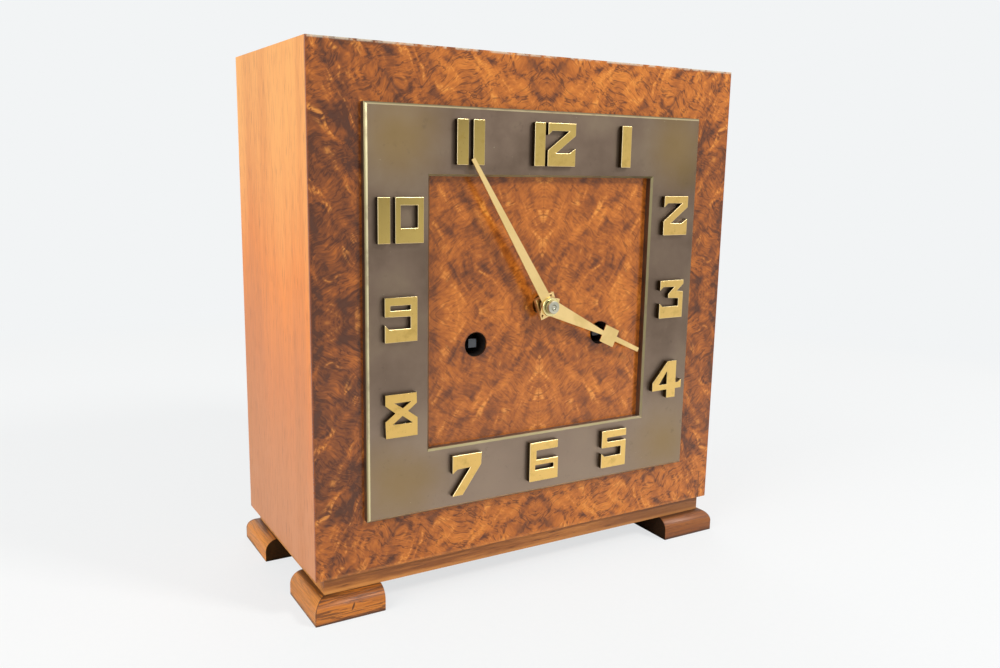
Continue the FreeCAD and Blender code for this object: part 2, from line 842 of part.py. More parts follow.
def make_dial_frame():
    """Square bronze frame with chamfered edges and four lugs let into the front board."""
    outer = size.frame_width / 2
    inner = size.frame_opening / 2
    body = padded("dial_ring", [
        rectangle((-outer, outer), (-outer, outer)),
        rectangle((-inner, inner), (-inner, inner)),
    ], size.frame_thick)
    document.recompute()
    near = float(size.frame_thick) / 100
    far_out = float(outer) + near
    split = float(outer + inner) / 2
    front_edges = edges_between(body.Shape, (-far_out, -near, -far_out), (far_out, near, far_out))
    opening_edges = edges_between(body.Shape, (-split, -near, -split), (split, near, split))
    rim_edges = [name for name in front_edges if name not in opening_edges]
    for label, edge_names, chamfer in (
        ("rim", rim_edges, size.frame_outer_chamfer),
        ("opening", opening_edges, size.frame_inner_chamfer),
    ):
        if label == "opening":
            document.recompute()
            edge_names = edges_between(body.Shape, (-split, -near, -split), (split, near, split))
        dress(body, "Chamfer", edge_names, Size=chamfer)
    place(body, 0, front_y - size.frame_thick, dial_z)
    lugs = frame_lugs("frame_lug", (front_y - size.frame_thick / 2, board_back_y))
    keep("dial_frame", fused("dial_frame_and_lugs", [body] + lugs))


# Outlines of the numerals as shares of their width and height, from the lower left corner
TWO_SHARES = [
    (0, 0), (1, 0), (1, 0.425), (0.77, 0.31), (0.31, 0.31), (1, 0.715),
    (1, 1), (0, 1), (0, 0.71), (0.15, 0.815), (0.75, 0.815), (0, 0.37),
]
THREE_SHARES = [
    (0, 0), (1, 0), (1, 0.69), (0.74, 0.715), (1, 0.89), (1, 1), (0, 1), (0, 0.73),
    (0.135, 0.825), (0.61, 0.82), (0.36, 0.645), (0.36, 0.53), (0.80, 0.51), (0.80, 0.31),
    (0.14, 0.31), (0, 0.40),
]
FOUR_SHARES = [
    (0.50, 0), (0.80, 0), (0.80, 0.235), (1, 0.24), (1, 0.47), (0.89, 0.40), (0.80, 0.39),
    (0.80, 1), (0.49, 1), (0, 0.44), (0, 0.22), (0.50, 0.23),
]
FOUR_EYE_SHARES = [(0.22, 0.375), (0.49, 0.375), (0.485, 0.735)]
FIVE_SHARES = [
    (0, 0), (1, 0), (1, 0.695), (0.22, 0.695), (0.22, 0.805), (1, 0.805), (1, 1), (0, 1),
    (0, 0.54), (0.79, 0.53), (0.79, 0.31), (0.135, 0.31), (0, 0.40),
]
SIX_SHARES = [
    (0, 0), (1, 0), (1, 0.55), (0.235, 0.55), (0.235, 0.785), (0.98, 0.79), (0.98, 1), (0, 1),
]
SIX_EYE_SHARES = [(0.20, 0.29), (0.84, 0.29), (0.84, 0.41), (0.20, 0.41)]
SEVEN_SHARES = [
    (0, 0), (0.35, 0), (0.98, 0.70), (1, 1), (0, 1), (0, 0.55), (0.17, 0.65), (0.61, 0.66),
]
EIGHT_SHARES = [
    (0.02, 0), (1, 0), (1, 0.415), (0.70, 0.59), (0.98, 0.76), (0.97, 1), (0, 1),
    (0, 0.76), (0.31, 0.565), (0, 0.385),
]
EIGHT_UPPER_EYE_SHARES = [(0.27, 0.80), (0.54, 0.665), (0.80, 0.805)]
EIGHT_LOWER_EYE_SHARES = [(0.22, 0.305), (0.85, 0.305), (0.53, 0.49)]
NINE_SHARES = [
    (0, 0), (1, 0), (1, 1), (0, 1), (0, 0.575), (0.785, 0.56), (0.785, 0.30), (0.135, 0.30),
    (0, 0.41),
]
NINE_EYE_SHARES = [(0.17, 0.715), (0.785, 0.715), (0.785, 0.82), (0.17, 0.82)]
SQUARE_SHARES = [(0, 0), (1, 0), (1, 1), (0, 1)]
ZERO_EYE_SHARES = [(0.19, 0.335), (0.785, 0.335), (0.785, 0.82), (0.19, 0.82)]

BAR = [SQUARE_SHARES]
ZERO = [SQUARE_SHARES, ZERO_EYE_SHARES]
TWO = [TWO_SHARES]


def make_numerals():
    """Twelve brass castings set on the face of the dial frame."""
    top = size.row_above
    low = -size.row_below
    column = size.column_offset
    step = size.numeral_step
    bar = size.bar_width
    digit = size.digit_width
    wide = size.wide_digit_width
    numerals = {
        "numeral_1": (step, top, [(BAR, bar)], 0),
        "numeral_2": (column, step, [(TWO, digit)], 0),
        "numeral_3": (column, 0, [([THREE_SHARES], digit)], 0),
        "numeral_4": (column, -step, [([FOUR_SHARES, FOUR_EYE_SHARES], size.four_width)], 0),
        "numeral_5": (step, low, [([FIVE_SHARES], digit)], 0),
        "numeral_6": (0, low, [([SIX_SHARES, SIX_EYE_SHARES], wide)], 0),
        "numeral_7": (-step, low, [([SEVEN_SHARES], digit)], 0),
        "numeral_8": (-column, -step, [
            ([EIGHT_SHARES, EIGHT_UPPER_EYE_SHARES, EIGHT_LOWER_EYE_SHARES], digit),
        ], 0),
        "numeral_9": (-column, 0, [([NINE_SHARES, NINE_EYE_SHARES], digit)], 0),
        "numeral_10": (-column, step, [(BAR, bar), (ZERO, size.zero_width)], size.bar_gap),
        "numeral_11": (-step, top, [(BAR, bar), (BAR, bar)], size.bar_gap),
        "numeral_12": (size.twelve_shift + 0, top, [(BAR, bar), (TWO, digit)], size.narrow_gap),
    }
    for name, (x, z, glyphs, gap) in numerals.items():
        total = sum((width for _, width in glyphs), as_term(0)) + gap * (len(glyphs) - 1)
        left = 0 - total / 2
        loops = []
        for outlines, width in glyphs:
            for shares in outlines:
                loops.append([
                    (left + across * width, (along - 0.5) * size.numeral_rise) for across, along in shares
                ])
            left = left + width + gap
        casting = padded(name + "_casting", loops, size.numeral_thick)
        keep(name, place(casting, x, front_y - numeral_front, dial_z + z))


# Hands

def make_hands():
    """Tapered minute hand, hour hand with its square, washer and nut."""
    corner = size.minute_boss_side / math.sqrt(2)
    root = size.minute_hand_root_width / 2
    tip = size.minute_hand_tip_width / 2
    reach = size.minute_hand_reach
    minute = padded("minute_blade", [[
        (0, -corner), (corner, 0), (root, corner - root), (tip, reach),
        (-tip, reach), (-root, corner - root), (-corner, 0),
    ]], size.minute_hand_thick)
    blade_span = (as_term(0), size.minute_hand_thick)
    bore = borer("minute_bore", 0, 0, blade_span, size.cannon_radius, PIPE_FLAT_COUNT)
    minute = cut("minute", minute, [bore])
    turn = FreeCAD.Rotation(DEPTH_AXIS, float(size.shown_minute_angle))
    keep("minute_hand", place(minute, 0, front_y - minute_front, hub_z, turn))

    corner = size.hour_boss_side / math.sqrt(2)
    inner = corner - size.hour_boss_rim * math.sqrt(2)
    root = size.hour_hand_root_width / 2
    waist = size.hour_hand_waist_width / 2
    half = size.hour_hand_square / 2
    near = size.hour_hand_square_place - half
    far = size.hour_hand_square_place + half
    wire = size.hour_hand_rod_width / 2
    tip = size.hour_hand_tip_width / 2
    reach = size.hour_hand_reach
    blade = padded("hour_blade", [[
        (corner, 0), (root, corner - root), (waist, near), (half, near),
        (half, far), (wire, far), (tip, reach),
        (-tip, reach), (-wire, far), (-half, far),
        (-half, near), (-waist, near), (-root, corner - root), (-corner, 0),
    ]], size.hour_hand_thick)
    boss = padded("hour_boss", [[(0, -corner), (corner, 0), (0, corner), (-corner, 0)]], size.hour_boss_depth)
    hollow_depth = size.hour_boss_depth - size.hour_boss_floor + size.overrun
    hollow = padded("hour_boss_hollow", [[(0, -inner), (inner, 0), (-inner, 0)]], hollow_depth)
    place(hollow, 0, -size.overrun, 0)
    boss_span = (as_term(0), size.hour_boss_depth)
    collar_radius = around(size.hour_pipe_radius + size.hour_boss_rim, PIPE_FLAT_COUNT)
    collar = rod("hour_collar", 0, 0, boss_span, collar_radius, PIPE_FLAT_COUNT)
    bore = borer("hour_bore", 0, 0, boss_span, size.hour_pipe_radius, PIPE_FLAT_COUNT)
    hour = cut("hour", fused("hour_filled", [
        cut("hour_tray", fused("hour_blank", [blade, boss]), [hollow]), collar,
    ]), [bore])
    turn = FreeCAD.Rotation(DEPTH_AXIS, float(size.shown_hour_angle))
    keep("hour_hand", place(hour, 0, front_y - hour_front, hub_z, turn))

    clearance = size.centre_arbor_radius + size.running_play
    washer_span = (front_y - nut_back, front_y - minute_front)
    eye_z = hub_z + size.washer_eye_place
    plate = rod("washer_disc", 0, hub_z, washer_span, size.washer_radius, DRUM_FLAT_COUNT)
    keep("hand_washer", cut("washer", plate, [
        borer("washer_bore", 0, hub_z, washer_span, clearance, PIPE_FLAT_COUNT),
        borer("washer_eye", 0, eye_z, washer_span, size.washer_eye_radius, PIVOT_FLAT_COUNT),
    ]))
    nut_span = (front_y - nut_front, front_y - nut_back)
    keep("hand_nut", cut("nut", rod("nut_blank", 0, hub_z, nut_span, size.nut_radius, HOLE_FLAT_COUNT), [
        borer("nut_bore", 0, hub_z, nut_span, clearance, PIPE_FLAT_COUNT),
    ]))


# Wheels

def span_of(x_one, z_one, x_two, z_two):
    """Distance between two arbors."""
    return math.hypot(float(x_two) - float(x_one), float(z_two) - float(z_one))


def prism(points, start, thick):
    """Solid between two depths whose front view is an outline of plain points."""
    corners = [FreeCAD.Vector(across, start, along) for across, along in points]
    face = Part.Face(Part.makePolygon(corners + corners[:1]))
    return face.extrude(FreeCAD.Vector(0, thick, 0))


def disc(radius, start, thick, flats=PIPE_FLAT_COUNT):
    """Round plate or rod about the depth axis, with flats inside its circle."""
    step = FULL_TURN / flats
    points = [(radius * math.cos(i * step), radius * math.sin(i * step)) for i in range(flats)]
    return prism(points, start, thick)


def bore_of(radius, start, thick, flats=PIPE_FLAT_COUNT):
    """Shape that bores a hole past both ends, its flats this far from the middle."""
    over = float(size.overrun)
    return disc(around(radius, flats), start - over, thick + 2 * over, flats)


def toothed(teeth, module, start, thick, phase):
    """Gear blank: one gap corner and two tip corners for each tooth."""
    pitch_radius = teeth * module / 2
    root = pitch_radius - DEDENDUM_SHARE * module
    tip = pitch_radius + ADDENDUM_SHARE * module
    half_tip = TIP_WIDTH_SHARE * module / 2 / tip
    step = FULL_TURN / teeth
    points = []
    for number in range(teeth):
        middle = phase + number * step
        for radius, angle in (
            (root, middle - step / 2), (tip, middle - half_tip), (tip, middle + half_tip),
        ):
            points.append((radius * math.cos(angle), radius * math.sin(angle)))
    return prism(points, start, thick)


def crossed_out(blank, rim_radius, start, thick):
    """Wheel blank with windows cut between its arms."""
    hub = float(size.wheel_hub_radius)
    half_arm = float(size.arm_width) / 2
    step = FULL_TURN / WHEEL_ARMS
    windows = []
    for number in range(WHEEL_ARMS):
        angle = (number + 0.5) * step
        corners = []
        for radius, side in ((hub, -1), (hub, 1), (rim_radius, 1), (rim_radius, 0), (rim_radius, -1)):
            turn = angle + side * (step / 2 - math.asin(half_arm / radius))
            corners.append((radius * math.cos(turn), radius * math.sin(turn)))
        windows.append(prism(corners, start, thick))
    return blank.cut(windows)


def meshing_phase(driver_phase, driver_teeth, teeth, line_angle):
    """Angle at which a pinion's gap takes the driver's tooth on the line of centres."""
    beyond = ((line_angle - driver_phase) / (FULL_TURN / driver_teeth)) % 1
    return line_angle + math.pi - (0.5 - beyond) * (FULL_TURN / teeth)


def solid_node(name, shape, x, y, z):
    """Sub-part whose shape is worked out from the sheet's sizes."""
    piece = document.addObject("Part::Feature", name)
    piece.Shape = shape
    place(piece, x, y, z)
    return keep(name, piece)


class Arbor:
    """One arbor of a train: its place, wheel and pinion, with levels behind the front plate."""

    def __init__(self, name, x, z, teeth, level, arms=True, leaves=PINION_LEAVES, leaf_level=None):
        self.name = name
        self.x = x
        self.z = z
        self.teeth = teeth
        self.level = level
        self.arms = arms
        self.leaves = leaves
        self.leaf_level = leaf_level
        self.phase = 0

    def spindle(self):
        """Arbor with a fine pivot at each end, in the plates' holes."""
        shake = float(size.end_shake)
        gap = float(size.cage_gap)
        plate = float(size.plate_thick)
        body = disc(float(size.arbor_radius), shake, gap - 2 * shake, PIVOT_FLAT_COUNT)
        pivots = disc(float(size.pivot_radius), -plate, gap + 2 * plate, PIVOT_FLAT_COUNT)
        return body.fuse(pivots)


def train_modules(chain):
    """Module of each mesh of a chain of arbors, and the phase of each arbor after the first."""
    modules = []
    for driver, follower in zip(chain, chain[1:]):
        distance = span_of(driver.x, driver.z, follower.x, follower.z)
        angle = math.atan2(float(follower.z) - float(driver.z), float(follower.x) - float(driver.x))
        modules.append(2 * distance / (driver.teeth + follower.leaves))
        follower.phase = meshing_phase(driver.phase, driver.teeth, follower.leaves, angle)
    return modules


def wheel_shape(arbor, module, thick):
    """Wheel of an arbor, crossed out where it has arms."""
    level = float(arbor.level)
    wheel = toothed(arbor.teeth, module, level, thick, arbor.phase)
    if arbor.arms:
        rim = arbor.teeth * module / 2 - DEDENDUM_SHARE * module - float(size.rim_width)
        wheel = crossed_out(wheel, rim, level, thick)
    return wheel


def make_train(chain, modules, extras):
    """Every arbor of a chain behind its barrel, with its pinion, wheel and any extra shapes."""
    thick = float(size.wheel_thick)
    for number, arbor in enumerate(chain[1:], start=1):
        leaves = toothed(
            arbor.leaves, modules[number - 1], float(arbor.leaf_level), pinion_length(arbor), arbor.phase,
        )
        shapes = [leaves]
        if number < len(modules):
            shapes.append(wheel_shape(arbor, modules[number], thick))
        shapes += extras.get(arbor.name, [])
        solid = arbor.spindle().fuse(shapes)
        solid_node(arbor.name, solid, arbor.x, cage_y, hub_z + arbor.z)


def pinion_length(arbor):
    """Length of a pinion's leaves."""
    return float(size.pinion_face)


def escape_shape(phase):
    """Escape wheel with raked pointed teeth."""
    tip = float(size.escape_wheel_radius)
    root = tip - float(size.escape_tooth_depth)
    step = FULL_TURN / ESCAPE_TEETH
    points = []
    for number in range(ESCAPE_TEETH):
        angle = phase + number * step
        points.append((tip * math.cos(angle), tip * math.sin(angle)))
        points.append((root * math.cos(angle + step / 2), root * math.sin(angle + step / 2)))
    level = float(size.escape_wheel_level)
    thick = float(size.escape_wheel_thick)
    return crossed_out(prism(points, level, thick), root - float(size.rim_width) / 2, level, thick)


def strike_pins():
    """Ring of lifting pins on the rear face of the pin wheel."""
    start = float(size.pin_wheel_level)
    length = float(size.wheel_thick + size.strike_pin_length)
    pins = []
    for number in range(STRIKE_PINS):
        angle = number * FULL_TURN / STRIKE_PINS
        circle = float(size.strike_pin_circle)
        pin = disc(float(size.strike_pin_radius), start, length, PIN_FLAT_COUNT)
        pin.translate(FreeCAD.Vector(circle * math.cos(angle), 0, circle * math.sin(angle)))
        pins.append(pin)
    return pins


def fly_vane():
    """Flat air brake on the last arbor of the strike train."""
    reach = float(size.fly_radius)
    thick = float(size.fly_thick)
    vane = Part.makeBox(
        2 * reach, float(size.fly_length), thick, FreeCAD.Vector(-reach, float(size.fly_level), -thick / 2),
    )
    hub = disc(float(size.arbor_radius) + thick, float(size.fly_level), float(size.fly_length))
    return [vane, hub]


def make_trains():
    """Going train and strike train, each from its barrel."""
    lead = size.pinion_face / 2 - size.wheel_thick / 2
    great_lead = size.great_wheel_level + size.great_wheel_thick / 2 - size.pinion_face / 2
    rear_lead = size.rear_wheel_level - lead
    going = [
        Arbor("going_barrel", size.barrel_across, -size.barrel_below, GREAT_TEETH, size.great_wheel_level),
        Arbor(
            "intermediate_wheel", size.intermediate_across, size.intermediate_above, INTERMEDIATE_TEETH,
            size.rear_wheel_level, leaf_level=great_lead,
            arms=False,
        ),
        Arbor(
            "centre_wheel", as_term(0), as_term(0), CENTRE_TEETH, size.centre_wheel_level,
            leaf_level=rear_lead,
        ),
        Arbor(
            "third_wheel", as_term(0), size.third_above, THIRD_TEETH, size.third_wheel_level,
            arms=False, leaf_level=size.centre_wheel_level - lead,
        ),
        Arbor(
            "fourth_wheel", as_term(0), size.fourth_above, FOURTH_TEETH, size.fourth_wheel_level,
            arms=False, leaf_level=size.third_wheel_level - lead,
        ),
        Arbor(
            "escape_wheel", as_term(0), size.escape_above, ESCAPE_TEETH, size.escape_wheel_level,
            leaf_level=size.fourth_wheel_level - lead,
        ),
    ]
    strike = [
        Arbor("strike_barrel", -size.barrel_across, -size.barrel_below, GREAT_TEETH, size.great_wheel_level),
        Arbor(
            "strike_second_wheel", -size.second_across, size.second_above, INTERMEDIATE_TEETH,
            size.rear_wheel_level, leaf_level=great_lead,
            arms=False,
        ),
        Arbor(
            "pin_wheel", -size.pin_wheel_across, size.pin_wheel_above, PIN_WHEEL_TEETH, size.pin_wheel_level,
            arms=False, leaf_level=rear_lead,
        ),
        Arbor(
            "warning_wheel", -size.warning_across, size.warning_above, WARNING_TEETH,
            size.warning_wheel_level,
            arms=False, leaf_level=size.pin_wheel_level - lead,
        ),
        Arbor(
            "fly", -size.fly_across, size.fly_above, PINION_LEAVES, size.warning_wheel_level,
            leaf_level=size.warning_wheel_level - lead,
        ),
    ]
    going_modules = train_modules(going)
    strike_modules = train_modules(strike)
    make_train(going, going_modules, {
        "escape_wheel": [escape_shape(going[-1].phase)],
        "centre_wheel": centre_extension(),
    })
    make_train(strike, strike_modules, {"pin_wheel": strike_pins(), "fly": fly_vane()})
    for chain, modules in ((going, going_modules), (strike, strike_modules)):
        make_barrel(chain[0], modules[0])
    return going, strike


def centre_extension():
    """Front part of the centre arbor, which carries the hands' friction pipe and nut."""
    radius = float(size.centre_arbor_radius)
    start = float(front_y - nut_front + size.arbor_recess - cage_y)
    return [disc(radius, start, float(size.plate_thick) - start + float(size.end_shake))]


def make_barrel(arbor, module):
    """Great wheel and spring drum, free to turn on the winding arbor."""
    level = float(size.great_wheel_level)
    thick = float(size.great_wheel_thick)
    wheel = toothed(GREAT_TEETH, module, level, thick, arbor.phase)
    drum = disc(float(size.drum_radius), level + thick, float(size.drum_length), DRUM_FLAT_COUNT)
    cap = disc(
        float(size.drum_cap_radius), level + thick + float(size.drum_length), float(size.drum_cap_thick),
        DRUM_FLAT_COUNT,
    )
    total = thick + float(size.drum_length) + float(size.drum_cap_thick)
    bore = bore_of(float(size.winding_arbor_radius + size.running_play), level, total)
    shape = wheel.fuse([drum, cap]).cut(bore)
    solid_node(arbor.name, shape, arbor.x, cage_y, hub_z + arbor.z)


def make_winding(name, x, direction):
    """Winding arbor with its square end and ratchet wheel, and the click that holds it."""
    z = -size.barrel_below
    gap = float(size.cage_gap)
    plate = float(size.plate_thick)
    shake = float(size.end_shake)
    ratchet_end = -plate - float(size.ratchet_ahead)
    thick = float(size.ratchet_thick)
    radius = float(size.winding_arbor_radius)
    front = float(front_y + size.square_behind_front - cage_y)
    half = float(size.winding_square) / 2
    square = Part.makeBox(
        2 * half, ratchet_end - thick - front, 2 * half, FreeCAD.Vector(-half, front, -half),
    )
    arbor = disc(radius, ratchet_end - thick, gap - shake - ratchet_end + thick)
    pivot = disc(float(size.rear_pivot_radius), gap - shake, plate + shake)
    tip = float(size.ratchet_radius)
    root = tip - float(size.ratchet_depth)
    step = FULL_TURN / RATCHET_TEETH
    points = []
    for number in range(RATCHET_TEETH):
        angle = number * step
        points.append((tip * math.cos(angle), tip * math.sin(angle)))
        points.append((root * math.cos(angle), root * math.sin(angle)))
    points = points if direction > 0 else [(-across, along) for across, along in reversed(points)]
    ratchet = prism(points, ratchet_end - thick, thick)
    solid_node(name + "_winding_arbor", arbor.fuse([square, pivot, ratchet]), x, cage_y, hub_z + z)


def click_place(side):
    """Where the click turns, relative to the hands' axis."""
    across = size.barrel_across - size.click_lead
    along = size.ratchet_radius + size.click_clearance + size.click_width / 2 - size.barrel_below
    return side * across, along


def make_click(name, side):
    """Click on the front plate, lying just clear of the ratchet's tips."""
    half = size.click_width / 2
    x, z = click_place(side)
    y_end = plate_y - size.ratchet_ahead
    y_span = (y_end - size.click_thick, y_end)
    x_tip = x + side * size.click_length
    x_span = sorted((x, x_tip), key=float)
    blank = fused(name + "_blank", [
        block(name + "_arm", x_span, y_span, (hub_z + z - half, hub_z + z + half)),
        rod(
            name + "_boss", x, hub_z + z + size.click_boss_radius - half, y_span, size.click_boss_radius,
            PIPE_FLAT_COUNT,
        ),
    ])
    bore = borer(
        name + "_bore", x, hub_z + z + size.click_boss_radius - half, y_span,
        size.click_pivot_radius + size.running_play, PIVOT_FLAT_COUNT,
    )
    keep(name, cut(name + "_piece", blank, [bore]))


def motion_modules():
    """Modules of the two meshes of the motion work."""
    distance = span_of(0, 0, size.minute_stud_across, size.minute_stud_above)
    minute_count = CANNON_LEAVES + MINUTE_WHEEL_TEETH
    hour_count = MINUTE_PINION_LEAVES + HOUR_WHEEL_TEETH
    return 2 * distance / minute_count, 2 * distance / hour_count


def make_motion_work():
    """Cannon pinion, minute wheel and hour wheel between the front board and the front plate."""
    first, second = motion_modules()
    angle = math.atan2(float(size.minute_stud_above), -float(size.minute_stud_across))
    minute_phase = meshing_phase(0, CANNON_LEAVES, MINUTE_WHEEL_TEETH, angle)
    hour_phase = meshing_phase(minute_phase, MINUTE_PINION_LEAVES, HOUR_WHEEL_TEETH, angle + math.pi)
    minute_y = plate_y - size.minute_wheel_ahead - size.minute_wheel_thick
    hour_y = plate_y - size.hour_wheel_ahead - size.hour_wheel_thick
    play = float(size.running_play)
    spare = float(size.motion_stud_spare)

    cannon_back = float(size.plate_thick) / 4
    pipe_front = float(front_y - minute_front - plate_y)
    pipe = disc(float(size.cannon_radius), pipe_front, -cannon_back - pipe_front)
    leaves = toothed(
        CANNON_LEAVES, first, float(minute_y - plate_y) - spare,
        float(size.minute_wheel_thick) + 2 * spare, 0,
    )
    bore = bore_of(float(size.centre_arbor_radius) + play, pipe_front, -pipe_front)
    solid_node("cannon_pinion", pipe.fuse(leaves).cut(bore), as_term(0), plate_y, hub_z + 0)

    wheel = toothed(
        MINUTE_WHEEL_TEETH, first, float(minute_y - plate_y), float(size.minute_wheel_thick), minute_phase,
    )
    pinion_front = float(hour_y - plate_y) - spare
    pinion = toothed(
        MINUTE_PINION_LEAVES, second, pinion_front, float(minute_y - plate_y) - pinion_front, minute_phase,
    )
    bore = bore_of(float(size.motion_stud_radius) + play, pinion_front, -pinion_front, PIVOT_FLAT_COUNT)
    solid_node(
        "minute_wheel", wheel.fuse(pinion).cut(bore), -size.minute_stud_across, plate_y,
        hub_z + size.minute_stud_above,
    )

    wheel = toothed(
        HOUR_WHEEL_TEETH, second, float(hour_y - plate_y), float(size.hour_wheel_thick), hour_phase,
    )
    hand_back = float(front_y - hour_front - plate_y)
    pipe_length = float(hour_y - plate_y) + float(size.hour_wheel_thick) - hand_back
    pipe = disc(float(size.hour_pipe_radius), hand_back, pipe_length)
    bore = bore_of(float(size.cannon_radius) + play, hand_back, pipe_length)
    solid_node("hour_wheel", wheel.fuse(pipe).cut(bore), as_term(0), plate_y, hub_z + 0)


# Movement frame

def corner_places(across, above, below):
    """The four places at plus and minus across, above and below the hands' axis."""
    return [(side * across, level) for side in (-1, 1) for level in (above, -below)]


def plate_outline():
    """Plate with its two upper corners taken off."""
    half = size.plate_half_width
    top = size.plate_above
    bottom = -size.plate_below
    corner = size.plate_corner
    return [
        (-half, bottom), (half, bottom), (half, top - corner), (half - corner, top),
        (corner - half, top), (-half, top - corner),
    ]


def pillar_places():
    """Middles of the four pillars."""
    inset = size.pillar_inset
    return corner_places(
        size.plate_half_width - inset, size.plate_above - size.plate_corner - inset, size.plate_below - inset,
    )


def make_plates(going, strike):
    """Front and back plates with a pivot hole for every arbor."""
    play = size.running_play
    centre = [("centre", as_term(0), as_term(0))]
    pallets = [("pallets", as_term(0), size.pallet_above)]
    hammer = [("hammer", -size.hammer_across, size.hammer_above)]
    barrels = [("barrel_" + str(side + 1), side * size.barrel_across, -size.barrel_below) for side in (-1, 1)]
    wheels = [
        (arbor.name, arbor.x, arbor.z) for arbor in going[1:] + strike[1:] if arbor.name != "centre_wheel"
    ]
    front_groups = [
        (wheels + pallets + hammer, size.pivot_radius, PIVOT_FLAT_COUNT),
        (centre, size.centre_arbor_radius, PIPE_FLAT_COUNT),
        (barrels, size.winding_arbor_radius, PIPE_FLAT_COUNT),
    ]
    back_groups = [
        (wheels + centre, size.pivot_radius, PIVOT_FLAT_COUNT),
        (pallets + hammer, size.arbor_radius, PIVOT_FLAT_COUNT),
        (barrels, size.rear_pivot_radius, PIVOT_FLAT_COUNT),
    ]
    plates = []
    for name, y_span, groups in (
        ("front_plate", (plate_y, cage_y), front_groups),
        ("back_plate", (back_plate_y, cage_end_y), back_groups),
    ):
        blank = padded(name + "_blank", [plate_outline()], size.plate_thick)
        place(blank, 0, y_span[0], hub_z)
        plates.append(cut(name + "_bored", blank, [
            borer(name + "_" + label, x, hub_z + z, y_span, radius + play, flats)
            for holes, radius, flats in groups for label, x, z in holes
        ]))
    stud_front = plate_y - size.hour_wheel_ahead - size.hour_wheel_thick - 2 * size.motion_stud_spare
    stud_end = plate_y + size.plate_thick / 2
    studs = [rod(
        "motion_stud", -size.minute_stud_across, hub_z + size.minute_stud_above, (stud_front, stud_end),
        size.motion_stud_radius, PIVOT_FLAT_COUNT,
    )]
    for side in (-1, 1):
        x, z = click_place(side)
        studs.append(rod(
            "click_stud_" + str(side + 1), x, hub_z + z + size.click_boss_radius - size.click_width / 2,
            (plate_y - size.ratchet_ahead - size.click_thick, stud_end), size.click_pivot_radius,
            PIVOT_FLAT_COUNT,
        ))
    keep("front_plate", fused("front_plate_with_studs", [plates[0]] + studs))
    keep("back_plate", plates[1])


def make_pillars():
    """Pillars between the plates with their nuts behind, and the posts that hold the movement."""
    pieces = []
    for number, (x, z) in enumerate(pillar_places()):
        tag = str(number)
        pieces.append(rod(
            "pillar_" + tag, x, hub_z + z, (cage_y, back_plate_y), size.pillar_radius, PIPE_FLAT_COUNT,
        ))
        nut_span = (cage_end_y, cage_end_y + size.pillar_nut_thick)
        pieces.append(rod(
            "pillar_nut_" + tag, x, hub_z + z, nut_span, size.pillar_nut_radius, PIVOT_FLAT_COUNT,
        ))
    keep("movement_pillars", grouped("pillars_and_nuts", pieces))
    posts = []
    for number, (x, z) in enumerate(corner_places(size.post_offset, size.post_above, size.post_below)):
        tag = str(number)
        flange_span = (board_back_y, board_back_y + size.post_flange_thick)
        posts.append(fused("post_" + tag, [
            rod("post_flange_" + tag, x, hub_z + z, flange_span, size.post_flange_radius, PIPE_FLAT_COUNT),
            rod("post_stem_" + tag, x, hub_z + z, (board_back_y, plate_y), size.post_radius, PIPE_FLAT_COUNT),
        ]))
    keep("mounting_posts", grouped("posts", posts))


# Escapement and pendulum

def make_anchor():
    """Anchor over the escape wheel, its arbor, and the crutch behind the back plate."""
    drop = float(size.escape_above - size.pallet_above)
    level = float(size.escape_wheel_level + size.escape_wheel_thick / 2 - size.anchor_thick / 2)
    thick = float(size.anchor_thick)
    inner = float(size.anchor_inner_radius)
    outer = float(size.anchor_outer_radius)
    half_span = math.radians(float(size.anchor_half_span))
    points = []
    for radius, direction in ((inner, 1), (outer, -1)):
        for number in range(ARCH_FLAT_COUNT + 1):
            angle = math.pi / 2 + direction * half_span * (2 * number / ARCH_FLAT_COUNT - 1)
            reach = radius / math.cos(half_span / ARCH_FLAT_COUNT) if radius == inner else radius
            points.append((reach * math.cos(angle), drop + reach * math.sin(angle)))
    arch = prism(points, level, thick)
    hub = disc(float(size.anchor_hub_radius), level, thick)
    gap = float(size.cage_gap)
    plate = float(size.plate_thick)
    shake = float(size.end_shake)
    crutch_y = gap + plate + float(size.crutch_behind)
    crutch_thick = float(size.crutch_thick)
    pivot = disc(float(size.pivot_radius), -plate, plate + shake, PIVOT_FLAT_COUNT)
    arbor = disc(float(size.arbor_radius), shake, crutch_y + crutch_thick - shake, PIVOT_FLAT_COUNT)
    half = float(size.crutch_width) / 2
    length = float(size.crutch_length)
    wire = float(size.crutch_fork_wire)
    fork = float(size.crutch_fork_gap)
    bar = Part.makeBox(2 * half, crutch_thick, length, FreeCAD.Vector(-half, crutch_y, -length))
    yoke = Part.makeBox(
        2 * (fork + wire), crutch_thick, wire, FreeCAD.Vector(-fork - wire, crutch_y, -length - wire),
    )
    prongs = [
        Part.makeBox(
            wire, float(size.crutch_fork_reach), wire, FreeCAD.Vector(x, crutch_y, -length - wire),
        )
        for x in (-fork - wire, fork)
    ]
    crutch_boss = disc(2 * float(size.arbor_radius), crutch_y, crutch_thick)
    shape = arbor.fuse([arch, hub, pivot, bar, yoke, crutch_boss] + prongs)
    solid_node("pallet_anchor", shape, as_term(0), cage_y, hub_z + size.pallet_above)


